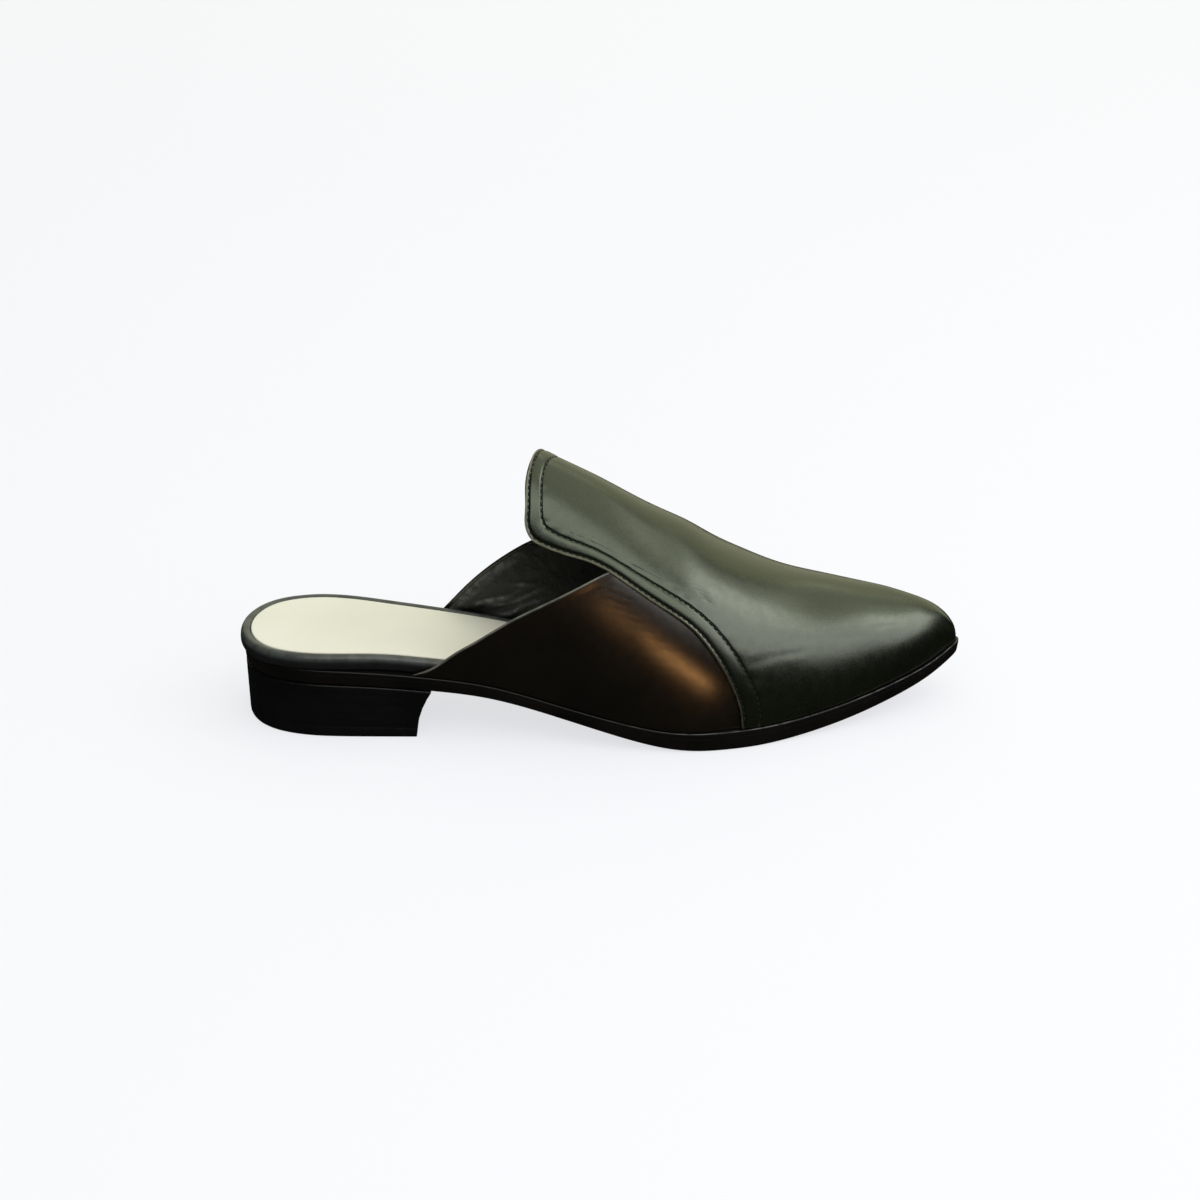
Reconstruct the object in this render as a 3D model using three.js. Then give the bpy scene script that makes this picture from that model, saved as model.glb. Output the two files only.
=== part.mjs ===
// Leather mule, right shoe: a pointed toe, a raised tongue, an open back and a low block heel.
// Millimetres, +X toward the toe, -Y the outer (lateral) side, +Z up.
// Every piece is worked out from one last: its sole outline, its rise, its instep line and its girth.
import * as THREE from 'three';

// Driving dimensions

const LENGTH = 260.4;            // from the back of the rim to the tip of the toe
const BALL_WIDTH = 84;           // reference for every width of the sole
const HEEL_RISE = 20.5;          // underside of the sole above the floor, at the heel
const TOE_SPRING = 15.5;         // underside of the sole above the floor, at the tip
const INSTEP_HEIGHT = 80;        // reference for the instep line above the feather
const SOLE_THICKNESS = 5.5;      // outsole, where its share is 1
const UPPER_WALL = 1.5;          // quarters and lining together
const VAMP_WALL = 1.2;           // leather of the vamp and tongue
const CLEARANCE = 0.3;           // between pieces that lie against each other
const LINING_CLEARANCE = 0.7;    // between the insole and the lining round it
const TOE_SHELF = 1;             // sole edge standing out past the vamp
const QUARTER_SHELF = 0.8;       // sole edge standing out past the quarters
const TONGUE_LIP = 0.6;          // vamp edge standing out past its lining round the tongue
const BOARD_HEIGHT = 5.2;        // padded insole, from the feather to the top of its rim
const RIM_WIDTH = 3.7;           // rolled rim of the insole, seen from above
const SOCK_SINK = 0.2;           // sock below the top of the rim
const SOCK_THICKNESS = 1;
const SEAT_TUCK = 1.3;           // sole set in under the rim, at the back of the heel
const HEEL_INSET = 0.4;          // heel inside the sole edge, where they meet
const HEEL_TAPER = 0.8;          // heel set in further at the floor, at its back
const BREAST_TAPER = 0.5;        // the same at its breast
const BREAST_TOP = 69.9;         // front of the heel under the sole, from the back of the shoe
const BREAST_FLOOR = 64.4;       // front of the heel at the floor
const TOE_BLEND = 6;             // half width below which shelf and walls fade into the tip
const RIDGE_BLEND = 20;          // half width below which the ridge returns to the middle
const GIRTH_POWER = 2.15;        // squareness of the girth section
const RIDGE_SHIFT = 4.2;         // ridge toward the inner side
const HALF_GIRTH = 88;           // ridge to feather over the instep, for distances along a panel

// Tables, as shares of the named sizes

const OUTLINE = [
  { along: 0, lateral: 0, medial: 0 },
  { along: 0.008, lateral: -0.14, medial: 0.14 },
  { along: 0.035, lateral: -0.265, medial: 0.265 },
  { along: 0.11, lateral: -0.35, medial: 0.345 },
  { along: 0.195, lateral: -0.36, medial: 0.335 },
  { along: 0.275, lateral: -0.362, medial: 0.305 },
  { along: 0.355, lateral: -0.375, medial: 0.285 },
  { along: 0.445, lateral: -0.425, medial: 0.3 },
  { along: 0.527, lateral: -0.475, medial: 0.345 },
  { along: 0.608, lateral: -0.503, medial: 0.405 },
  { along: 0.688, lateral: -0.467, medial: 0.445 },
  { along: 0.769, lateral: -0.368, medial: 0.435 },
  { along: 0.839, lateral: -0.262, medial: 0.385 },
  { along: 0.899, lateral: -0.155, medial: 0.33 },
  { along: 0.95, lateral: -0.045, medial: 0.275 },
  { along: 0.985, lateral: 0.07, medial: 0.22 },
  { along: 1, lateral: 0.155, medial: 0.155 },
];

const ARCH = [
  { along: 0, rise: 1 },
  { along: 0.1, rise: 1 },
  { along: 0.195, rise: 0.96 },
  { along: 0.265, rise: 0.885 },
  { along: 0.335, rise: 0.78 },
  { along: 0.405, rise: 0.6 },
  { along: 0.477, rise: 0.37 },
  { along: 0.547, rise: 0.15 },
  { along: 0.598, rise: 0.035 },
  { along: 0.638, rise: 0 },
  { along: 0.7, rise: 0 },
  { along: 1, rise: 0 },
];

const TREAD_END = 0.7;           // share of the length where the toe spring starts
const SPRING_POWER = 1.85;

const SOLE_SECTION = [
  { along: 0, thick: 1.05 },
  { along: 0.195, thick: 1.02 },
  { along: 0.345, thick: 0.95 },
  { along: 0.445, thick: 0.95 },
  { along: 0.547, thick: 1.15 },
  { along: 0.638, thick: 1.32 },
  { along: 0.75, thick: 1.31 },
  { along: 0.88, thick: 1.18 },
  { along: 1, thick: 0.9 },
];

const RIDGE = [
  { along: 0.235, height: 1.2 },
  { along: 0.326, height: 1.115 },
  { along: 0.412, height: 1.018 },
  { along: 0.497, height: 0.937 },
  { along: 0.577, height: 0.83 },
  { along: 0.618, height: 0.767 },
  { along: 0.658, height: 0.685 },
  { along: 0.698, height: 0.613 },
  { along: 0.738, height: 0.547 },
  { along: 0.819, height: 0.443 },
  { along: 0.879, height: 0.36 },
  { along: 0.93, height: 0.274 },
  { along: 0.965, height: 0.198 },
  { along: 0.988, height: 0.113 },
  { along: 1, height: 0 },
];

// Side of the outsole: inset from the sole edge and rise above the underside, shares of its thickness
const SOLE_EDGE = [
  { inset: 0.25, rise: 0 },
  { inset: 0.055, rise: 0.4 },
  { inset: 0, rise: 0.85 },
  { inset: 0.09, rise: 1 },
];

// Rolled rim of the insole: across is a share of the rim's width, up a share of the board's height
const RIM_SECTION = [
  { across: 0.13, up: 0 },
  { across: 0, up: 0.3 },
  { across: 0.03, up: 0.65 },
  { across: 0.2, up: 0.92 },
  { across: 0.5, up: 1 },
  { across: 0.85, up: 0.95 },
];

// Edge of the sock: across and up are shares of its thickness
const SOCK_SECTION = [
  { across: 0, up: 0 },
  { across: 0, up: 0.7 },
  { across: 0.4, up: 1 },
];

// Levels of the heel, shares of its height
const HEEL_LEVELS = [0, 0.35, 0.7, 1];

// Panel edges: along is a share of the length, girth runs from 0 on the ridge to 1 at the feather

// Rear edge of the tongue, from the ridge to the notch
const LATERAL_TONGUE = [
  { along: 0.4115, girth: 0 },
  { along: 0.4025, girth: 0.175 },
  { along: 0.3965, girth: 0.33 },
  { along: 0.3957, girth: 0.44 },
  { along: 0.397, girth: 0.508 },
  { along: 0.403, girth: 0.532 },
  { along: 0.4155, girth: 0.539 },
  { along: 0.46, girth: 0.527 },
  { along: 0.482, girth: 0.518 },
  { along: 0.509, girth: 0.52 },
];

const MEDIAL_TONGUE = [
  { along: 0.4115, girth: 0 },
  { along: 0.4185, girth: 0.12 },
  { along: 0.4205, girth: 0.23 },
  { along: 0.4165, girth: 0.34 },
  { along: 0.409, girth: 0.44 },
  { along: 0.407, girth: 0.505 },
  { along: 0.412, girth: 0.532 },
  { along: 0.4255, girth: 0.539 },
  { along: 0.46, girth: 0.527 },
  { along: 0.482, girth: 0.518 },
  { along: 0.509, girth: 0.52 },
];

const TONGUE_REACH = 0.545;      // girth of the tongue's corners, at most

const WING_EDGE = [
  { along: 0.54, girth: 0.538 },
  { along: 0.587, girth: 0.571 },
  { along: 0.623, girth: 0.615 },
  { along: 0.654, girth: 0.706 },
  { along: 0.678, girth: 0.83 },
  { along: 0.69, girth: 0.95 },
  { along: 0.691, girth: 1 },
];

const LATERAL_QUARTER = [
  { along: 0.243, girth: 1 },
  { along: 0.268, girth: 0.982 },
  { along: 0.298, girth: 0.942 },
  { along: 0.328, girth: 0.9 },
  { along: 0.365, girth: 0.835 },
  { along: 0.417, girth: 0.735 },
  { along: 0.477, girth: 0.6 },
];

const MEDIAL_QUARTER = [
  { along: 0.265, girth: 1 },
  { along: 0.281, girth: 0.97 },
  { along: 0.305, girth: 0.919 },
  { along: 0.339, girth: 0.846 },
  { along: 0.373, girth: 0.773 },
  { along: 0.395, girth: 0.726 },
  { along: 0.452, girth: 0.62 },
];

// Where the sole comes out from under the rim at the back, shares of the length
const TUCK_ENDS = { from: 0.01, to: 0.12 };

// Where the insole narrows from the sole edge to the inside of the quarters, shares of the length
const RIM_STEPS_IN = { from: 0.09, to: 0.225 };

// Where the vamp takes over from the quarters at the feather, shares of the length
const SHELF_CHANGE = { from: 0.6, to: 0.72 };

// Where the toe's crown leans in over the insole, shares of the length
const CROWN = { from: 0.75, to: 0.95, inset: 1.2 };

// Facets

const TONGUE_PITCH = 9;          // longest steps along the panel edges
const SIDE_PITCH = 14;
const UPPER_ROWS = 26;           // from the rear edge to the tip
const VAMP_ROWS = 24;
const SOLE_STATIONS = 40;
const HEEL_STATIONS = 18;
const STEP = 0.002;              // for slopes worked out by difference

// Numbers

const column = (rows, name) => rows.map((row) => row[name]);
const mix = (from, to, share) => from + (to - from) * share;
const rootPower = (value) => Math.sign(value) * Math.abs(value) ** (2 / GIRTH_POWER);
const sweepOf = (along) => Math.acos(1 - 2 * along);
const alongOf = (sweep) => (1 - Math.cos(sweep)) / 2;

function ease(value, { from, to }) {
  const share = THREE.MathUtils.clamp((value - from) / (to - from), 0, 1);
  return share * share * (3 - 2 * share);
}

// Natural cubic spline through the values at the knots, by the usual tridiagonal sweep.
function spline(knots, values) {
  const last = knots.length - 1;
  const gap = knots.slice(1).map((knot, i) => knot - knots[i]);
  const bend = new Array(last + 1).fill(0);
  const upper = new Array(last + 1).fill(0);
  for (let i = 1; i < last; i += 1) {
    const slopeChange = (values[i + 1] - values[i]) / gap[i] - (values[i] - values[i - 1]) / gap[i - 1];
    const pivot = 2 * (gap[i - 1] + gap[i]) - gap[i - 1] * upper[i - 1];
    upper[i] = gap[i] / pivot;
    bend[i] = (6 * slopeChange - gap[i - 1] * bend[i - 1]) / pivot;
  }
  for (let i = last - 1; i > 0; i -= 1) bend[i] -= upper[i] * bend[i + 1];
  return (at) => {
    let i = 0;
    while (i < last - 1 && at > knots[i + 1]) i += 1;
    const before = (knots[i + 1] - at) / gap[i];
    const after = (at - knots[i]) / gap[i];
    const curve = (before ** 3 - before) * bend[i] + (after ** 3 - after) * bend[i + 1];
    return before * values[i] + after * values[i + 1] + curve * gap[i] ** 2 / 6;
  };
}

// The last

const outlineSweeps = column(OUTLINE, 'along').map(sweepOf);
const lateralShare = spline(outlineSweeps, column(OUTLINE, 'lateral'));
const medialShare = spline(outlineSweeps, column(OUTLINE, 'medial'));
const riseShare = spline(column(ARCH, 'along'), column(ARCH, 'rise'));
const thickShare = spline(column(SOLE_SECTION, 'along'), column(SOLE_SECTION, 'thick'));
const ridgeShare = spline(column(RIDGE, 'along').map(sweepOf), column(RIDGE, 'height'));

// Underside of the sole above the floor.
function soleBottom(along) {
  const spring = Math.max(0, (along - TREAD_END) / (1 - TREAD_END));
  const arch = along < TREAD_END ? Math.max(0, riseShare(along)) : 0;
  return HEEL_RISE * arch + TOE_SPRING * spring ** SPRING_POWER;
}

// Feather: the line where upper and insole meet the sole.
const feather = (along) => soleBottom(along) + SOLE_THICKNESS * thickShare(along);

// Sole edge, on the lateral or the medial side.
function edgePoint(sweep, side) {
  const share = side === 'lateral' ? lateralShare : medialShare;
  return new THREE.Vector2(LENGTH * alongOf(sweep), BALL_WIDTH * share(sweep));
}

// Sole edge moved inward by a distance, square to the outline.
function insetPoint(sweep, side, inset) {
  const at = THREE.MathUtils.clamp(sweep, STEP, Math.PI - STEP);
  const slope = edgePoint(at + STEP, side).sub(edgePoint(at - STEP, side)).normalize();
  const turn = side === 'lateral' ? 1 : -1;
  const inward = new THREE.Vector2(-turn * slope.y, turn * slope.x);
  if (sweep < STEP) inward.set(1, 0);
  if (sweep > Math.PI - STEP) inward.set(-1, 0);
  return edgePoint(sweep, side).addScaledVector(inward, inset);
}

// Sole edge beyond the vamp's outer face. Behind the vamp it is set so that the quarters keep their shelf.
const shelfAt = (along) => mix(QUARTER_SHELF - VAMP_WALL - CLEARANCE, TOE_SHELF, ease(along, SHELF_CHANGE));

// Outer face of the vamp, carried on over the whole last.
function vampFace(sweep, girth) {
  const along = alongOf(sweep);
  const shelf = shelfAt(along);
  const lateral = BALL_WIDTH * lateralShare(sweep);
  const medial = BALL_WIDTH * medialShare(sweep);
  const fullHalf = (medial - lateral) / 2;
  const fan = girth * Math.PI / 2;
  const half = fullHalf - shelf * Math.min(1, fullHalf / TOE_BLEND) * Math.sin(fan) ** 2;
  const ridgeShift = RIDGE_SHIFT * Math.min(1, half / RIDGE_BLEND) * Math.cos(fan) ** 2;
  return new THREE.Vector3(
    along * (LENGTH - shelf),
    (lateral + medial) / 2 + half * rootPower(Math.sin(fan)) + ridgeShift,
    feather(along) + INSTEP_HEIGHT * ridgeShare(sweep) * Math.abs(rootPower(Math.cos(fan))),
  );
}

// Point of the last at a depth below the vamp's outer face, square to it.
function lastPoint(sweep, girth, depth) {
  if (sweep > Math.PI - STEP) return vampFace(Math.PI, girth).add(new THREE.Vector3(-depth, 0, 0));
  const at = Math.min(sweep, Math.PI - 2 * STEP);
  const across = THREE.MathUtils.clamp(girth, STEP - 1, 1 - STEP);
  const forward = vampFace(at + STEP, across).sub(vampFace(at - STEP, across));
  const over = vampFace(at, across + STEP / 2).sub(vampFace(at, across - STEP / 2));
  const outward = forward.cross(over).normalize();
  return vampFace(sweep, girth).addScaledVector(outward, -depth);
}

// Panel edges

// Signed rows from a side's table: the lateral side has negative girth.
const onSide = (rows, side) => rows.map(({ along, girth }) => ({ along, girth: side * girth }));

// Length between two places of a panel.
const panelDistance = (a, b) => Math.hypot(LENGTH * (b.along - a.along), HALF_GIRTH * (b.girth - a.girth));

// Smooth edge through the rows. Round the tongue its points are closer together than on the sides.
function panelEdge(rows) {
  const run = [0];
  for (let i = 1; i < rows.length; i += 1) run.push(run[i - 1] + panelDistance(rows[i - 1], rows[i]));
  const along = spline(run, column(rows, 'along'));
  const girth = spline(run, column(rows, 'girth'));
  const points = [];
  for (let i = 1; i < rows.length; i += 1) {
    const reach = Math.max(Math.abs(rows[i].girth), Math.abs(rows[i - 1].girth));
    const steps = Math.ceil((run[i] - run[i - 1]) / (reach > TONGUE_REACH ? SIDE_PITCH : TONGUE_PITCH));
    for (let step = 0; step < steps; step += 1) {
      const at = mix(run[i - 1], run[i], step / steps);
      points.push({ along: along(at), girth: girth(at) });
    }
  }
  points.push(rows[rows.length - 1]);
  return points;
}

// Edge moved into the panel by a distance. It runs from lateral to medial, with the panel on its toe side.
function movedIn(points, distance) {
  return points.map((point, i) => {
    const before = points[Math.max(0, i - 1)];
    const after = points[Math.min(points.length - 1, i + 1)];
    const run = panelDistance(before, after);
    const forward = HALF_GIRTH * (after.girth - before.girth) / run;
    const aside = -LENGTH * (after.along - before.along) / run;
    return {
      along: point.along + distance * forward / LENGTH,
      girth: point.girth + distance * aside / HALF_GIRTH,
    };
  });
}

// One row of places from the lateral side over the ridge to the medial side.
function overRidge(lateralRows, medialRows) {
  const lateral = onSide(lateralRows.slice(1), -1).reverse();
  return [...lateral, ...onSide(medialRows, 1)];
}

function vampEdge() {
  const edge = panelEdge(overRidge([...LATERAL_TONGUE, ...WING_EDGE], [...MEDIAL_TONGUE, ...WING_EDGE]));
  return edge.map(({ along, girth }) => ({ along, girth: THREE.MathUtils.clamp(girth, -1, 1) }));
}

// Quarter edge, up to the notch under the tongue, then round the tongue's lining and down the other quarter.
function upperEdge() {
  const tongue = movedIn(panelEdge(overRidge(LATERAL_TONGUE, MEDIAL_TONGUE)), TONGUE_LIP);
  const lateral = panelEdge([...onSide(LATERAL_QUARTER, -1), tongue[0]]);
  const medialRows = [...onSide(MEDIAL_QUARTER, 1), tongue[tongue.length - 1]].reverse();
  const medial = panelEdge(medialRows);
  return [...lateral.slice(0, -1), ...tongue, ...medial.slice(1)];
}

// Bodies

// Mesh from points and triangles, with its faces turned outward.
function closedBody(points, faces) {
  const volume = faces.reduce((sum, [a, b, c]) => (
    sum + points[a].dot(new THREE.Vector3().crossVectors(points[b], points[c]))), 0);
  const turned = volume < 0 ? faces.map(([a, b, c]) => [a, c, b]) : faces;
  const geometry = new THREE.BufferGeometry().setFromPoints(points);
  geometry.setIndex(turned.flat());
  geometry.computeVertexNormals();
  return geometry;
}

function quad(faces, a, b, c, d) {
  faces.push([a, b, c], [a, c, d]);
}

// Hollow shell between two depths. Its columns run from the rear edge to the tip of the toe,
// spread over the toe by their length along the edge. It is open behind and underneath.
function shell(edge, outerDepth, innerDepth, rows) {
  const run = [0];
  for (let i = 1; i < edge.length; i += 1) run.push(run[i - 1] + panelDistance(edge[i - 1], edge[i]));
  const spread = run.map((length) => mix(-1, 1, length / run[run.length - 1]));
  const points = [];
  const skin = (depth) => {
    const first = points.length;
    edge.forEach(({ along, girth }, i) => {
      for (let row = 0; row < rows; row += 1) {
        const share = row / rows;
        points.push(lastPoint(mix(sweepOf(along), Math.PI, share), mix(girth, spread[i], share), depth));
      }
    });
    points.push(lastPoint(Math.PI, 0, depth));
    const tip = points.length - 1;
    return (i, row) => (row === rows ? tip : first + i * rows + row);
  };
  const outer = skin(outerDepth);
  const inner = skin(innerDepth);
  const last = edge.length - 1;
  const faces = [];
  for (let i = 0; i < last; i += 1) {
    for (let row = 0; row < rows - 1; row += 1) {
      quad(faces, outer(i, row), outer(i, row + 1), outer(i + 1, row + 1), outer(i + 1, row));
      quad(faces, inner(i, row), inner(i + 1, row), inner(i + 1, row + 1), inner(i, row + 1));
    }
    faces.push([outer(i, rows - 1), outer(i, rows), outer(i + 1, rows - 1)]);
    faces.push([inner(i, rows - 1), inner(i + 1, rows - 1), inner(i, rows)]);
    quad(faces, outer(i, 0), outer(i + 1, 0), inner(i + 1, 0), inner(i, 0));
  }
  for (let row = 0; row < rows; row += 1) {
    quad(faces, outer(0, row + 1), outer(0, row), inner(0, row), inner(0, row + 1));
    quad(faces, outer(last, row), outer(last, row + 1), inner(last, row + 1), inner(last, row));
  }
  return closedBody(points, faces);
}

// Solid made of rings of the outline, from the lowest level to the highest, closed by ladders of strips.
// A level gives the point of its ring for a station and a side. A pointed outline has one point in front.
function stack(levels, stations, pointed) {
  const points = [];
  const faces = [];
  const rings = levels.map((place) => {
    const lateral = [];
    const medial = [];
    for (let i = 0; i <= stations; i += 1) {
      lateral.push(points.push(place(i / stations, 'lateral')) - 1);
      const shared = i === 0 || (pointed && i === stations);
      medial.push(shared ? lateral[i] : points.push(place(i / stations, 'medial')) - 1);
    }
    const back = pointed ? medial.slice(1, -1) : medial.slice(1);
    return { lateral, medial, loop: [...lateral, ...back.reverse()] };
  });
  rings.slice(1).forEach((ring, level) => {
    const below = rings[level].loop;
    ring.loop.forEach((point, i) => {
      const next = (i + 1) % ring.loop.length;
      quad(faces, below[i], below[next], ring.loop[next], point);
    });
  });
  const ladder = ({ lateral, medial }, up) => {
    for (let i = 0; i < stations; i += 1) {
      const corners = [lateral[i], lateral[i + 1], medial[i + 1], medial[i]];
      const strip = corners.filter((corner, k) => corner !== corners[(k + 1) % corners.length]);
      const facing = up ? strip : strip.reverse();
      for (let k = 2; k < facing.length; k += 1) faces.push([facing[0], facing[k - 1], facing[k]]);
    }
  };
  ladder(rings[0], false);
  ladder(rings[rings.length - 1], true);
  return closedBody(points, faces);
}

// Where the two inset sides meet in front: the tip, or behind it where the inset is deep.
function meetingSweep(inset) {
  const width = (sweep) => {
    const depth = inset(alongOf(sweep));
    return insetPoint(sweep, 'medial', depth).y - insetPoint(sweep, 'lateral', depth).y;
  };
  let wide = Math.PI / 2;
  let narrow = Math.PI - STEP;
  if (width(narrow) > 0) return Math.PI;
  while (narrow - wide > STEP * STEP) {
    const middle = (wide + narrow) / 2;
    if (width(middle) > 0) wide = middle;
    else narrow = middle;
  }
  return wide;
}

// Ring of the whole sole outline: inset may change along the sole, height follows a line of the last.
function soleRing(inset, height) {
  const end = meetingSweep(inset);
  return (share, side) => {
    const sweep = share * end;
    const depth = inset(alongOf(sweep));
    const spot = insetPoint(sweep, side, depth);
    if (share === 1) spot.add(insetPoint(sweep, 'medial', depth)).divideScalar(2);
    return new THREE.Vector3(spot.x, spot.y, height(spot.x / LENGTH));
  };
}

// Insole edge inside the sole edge: flush at the heel, clear of the upper's lining further on.
function insoleInset(along) {
  const walls = shelfAt(along) + VAMP_WALL + CLEARANCE + UPPER_WALL + LINING_CLEARANCE;
  return walls * ease(along, RIM_STEPS_IN) + CROWN.inset * ease(along, CROWN);
}

// Pieces

// Sole edge under the rim: set in round the back of the heel.
const seatInset = (along) => SEAT_TUCK * (1 - ease(along, TUCK_ENDS));

function outsole() {
  const height = (along) => feather(along) - CLEARANCE - soleBottom(along);
  const level = ({ inset, rise }) => soleRing(
    (along) => seatInset(along) + inset * SOLE_THICKNESS,
    (along) => soleBottom(along) + rise * height(along),
  );
  return stack(SOLE_EDGE.map(level), SOLE_STATIONS, true);
}

// Ring of the heel: share of its height, from the floor to the sole. The breast leans and is slightly hollow.
function heelRing(rise) {
  return (share, side) => {
    const breast = mix(BREAST_FLOOR, BREAST_TOP, rise ** 2);
    const sweep = share * sweepOf(breast / LENGTH);
    const taper = mix(HEEL_TAPER, BREAST_TAPER, share) * (1 - rise);
    const spot = insetPoint(sweep, side, seatInset(alongOf(sweep)) + HEEL_INSET + taper);
    spot.x = Math.min(spot.x, breast);
    return new THREE.Vector3(spot.x, spot.y, rise * (soleBottom(spot.x / LENGTH) - CLEARANCE));
  };
}

function heel() {
  return stack(HEEL_LEVELS.map(heelRing), HEEL_STATIONS, false);
}

// Ring of a piece that lies inside the shoe: inset from the insole's side, height above the feather.
const innerRing = (inset, height) => (
  soleRing((along) => insoleInset(along) + inset, (along) => feather(along) + height));

// Padded insole: rolled rim round a shallow recess.
function insole() {
  const recess = BOARD_HEIGHT - SOCK_SINK - SOCK_THICKNESS - CLEARANCE;
  const rim = RIM_SECTION.map(({ across, up }) => innerRing(across * RIM_WIDTH, up * BOARD_HEIGHT));
  return stack([...rim, innerRing(RIM_WIDTH, recess)], SOLE_STATIONS, true);
}

function sock() {
  const underside = BOARD_HEIGHT - SOCK_SINK - SOCK_THICKNESS;
  const level = ({ across, up }) => innerRing(
    RIM_WIDTH + CLEARANCE + across * SOCK_THICKNESS, underside + up * SOCK_THICKNESS);
  return stack(SOCK_SECTION.map(level), SOLE_STATIONS, true);
}

function upper() {
  const outerDepth = VAMP_WALL + CLEARANCE;
  return shell(upperEdge(), outerDepth, outerDepth + UPPER_WALL, UPPER_ROWS);
}

function vamp() {
  return shell(vampEdge(), 0, VAMP_WALL, VAMP_ROWS);
}

// Assembly

const PIECES = [
  { name: 'outsole', make: outsole, color: 0x15130f, roughness: 0.5 },
  { name: 'heel', make: heel, color: 0x0d0c0b, roughness: 0.4 },
  { name: 'insole', make: insole, color: 0x171816, roughness: 0.5 },
  { name: 'sock', make: sock, color: 0xe9e4cc, roughness: 0.6 },
  { name: 'upper', make: upper, color: 0x14120f, roughness: 0.35 },
  { name: 'vamp', make: vamp, color: 0x262a22, roughness: 0.35 },
];

const mule = new THREE.Group();
for (const { name, make, color, roughness } of PIECES) {
  const mesh = new THREE.Mesh(make(), new THREE.MeshStandardMaterial({ color, roughness, metalness: 0 }));
  mesh.name = name;
  mule.add(mesh);
}

// The origin lies on the floor, under the middle of the shoe.
const box = new THREE.Box3().setFromObject(mule);
const middle = box.getCenter(new THREE.Vector3());
for (const mesh of mule.children) mesh.position.set(-middle.x, -middle.y, -box.min.z);

export default mule;
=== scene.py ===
"""Leather mule for the right foot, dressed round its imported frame.

Every leather surface is worked out from one last. A place on the last is a sweep, which runs from 0 at
the back of the heel to pi at the tip of the toe, and a girth, which runs from -1 at the outer feather
line over 0 on the ridge to 1 at the inner feather line. Sizes are millimetres until a mesh is made.
"""

import logging
import math
from dataclasses import dataclass, field
from enum import Enum
from functools import cached_property
from typing import Callable

import bmesh
import bpy
import numpy as np
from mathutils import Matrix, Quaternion, Vector


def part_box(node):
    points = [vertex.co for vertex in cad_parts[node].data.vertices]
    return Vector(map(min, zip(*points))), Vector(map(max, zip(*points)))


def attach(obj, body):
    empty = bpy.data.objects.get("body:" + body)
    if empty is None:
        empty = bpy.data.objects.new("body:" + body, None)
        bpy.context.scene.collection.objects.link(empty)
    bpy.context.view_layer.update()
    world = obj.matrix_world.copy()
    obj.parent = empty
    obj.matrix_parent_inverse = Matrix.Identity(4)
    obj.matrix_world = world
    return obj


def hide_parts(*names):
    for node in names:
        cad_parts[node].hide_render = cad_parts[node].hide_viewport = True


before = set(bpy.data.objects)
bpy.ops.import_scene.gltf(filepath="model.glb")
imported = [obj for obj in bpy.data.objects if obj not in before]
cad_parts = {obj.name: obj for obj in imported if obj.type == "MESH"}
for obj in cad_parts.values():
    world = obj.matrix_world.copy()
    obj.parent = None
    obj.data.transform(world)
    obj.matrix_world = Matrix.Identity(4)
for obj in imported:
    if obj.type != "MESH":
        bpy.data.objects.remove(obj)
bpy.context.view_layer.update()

Array = np.ndarray
Rows = tuple[tuple[float, ...], ...]
Color = tuple[float, float, float]
Socket = bpy.types.NodeSocket

# A millimetre in metres, and the distance in metres below which two points are one.
MM = 0.001
WELD = 2e-6

# Small change of sweep or girth for a slope, and the least length that a vector is divided by.
STEP = 0.002
TINY = 1e-12

# Ridges beside a crease: height as a share of its depth, and reach as a share of its width.
RIDGE_SHARE = 0.45
RIDGE_REACH = 2.2

log = logging.getLogger("mule")

# Outline of the sole, shares of the ball width. Columns: along, lateral, medial.
OUTLINE: Rows = (
    (0, 0, 0), (0.008, -0.14, 0.14), (0.035, -0.265, 0.265), (0.11, -0.35, 0.345), (0.195, -0.36, 0.335),
    (0.275, -0.362, 0.305), (0.355, -0.375, 0.285), (0.445, -0.425, 0.3), (0.527, -0.475, 0.345),
    (0.608, -0.503, 0.405), (0.688, -0.467, 0.445), (0.769, -0.368, 0.435), (0.839, -0.262, 0.385),
    (0.899, -0.155, 0.33), (0.95, -0.045, 0.275), (0.985, 0.07, 0.22), (1, 0.155, 0.155),
)

# Underside of the sole from heel to ball, shares of the heel rise. Columns: along, rise.
ARCH: Rows = (
    (0, 1), (0.1, 1), (0.195, 0.96), (0.265, 0.885), (0.335, 0.78), (0.405, 0.6), (0.477, 0.37),
    (0.547, 0.15), (0.598, 0.035), (0.638, 0), (0.7, 0), (1, 0),
)

# Thickness of the sole, shares of its named thickness. Columns: along, thick.
SOLE_SECTION: Rows = (
    (0, 1.05), (0.195, 1.02), (0.345, 0.95), (0.445, 0.95), (0.547, 1.15), (0.638, 1.32), (0.75, 1.31),
    (0.88, 1.18), (1, 0.9),
)

# Instep line above the feather, shares of the instep height. Columns: along, height.
RIDGE: Rows = (
    (0.235, 1.2), (0.326, 1.115), (0.412, 1.018), (0.497, 0.937), (0.577, 0.83), (0.618, 0.767),
    (0.658, 0.685), (0.698, 0.613), (0.738, 0.547), (0.819, 0.443), (0.879, 0.36), (0.93, 0.274),
    (0.965, 0.198), (0.988, 0.113), (1, 0),
)

# Outer side of the tongue's rear edge, from the ridge to the notch. Columns: along, girth.
LATERAL_TONGUE: Rows = (
    (0.4115, 0), (0.4025, 0.175), (0.3965, 0.33), (0.3957, 0.44), (0.397, 0.508), (0.403, 0.532),
    (0.4155, 0.539), (0.46, 0.527), (0.482, 0.518), (0.509, 0.52),
)

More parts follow.
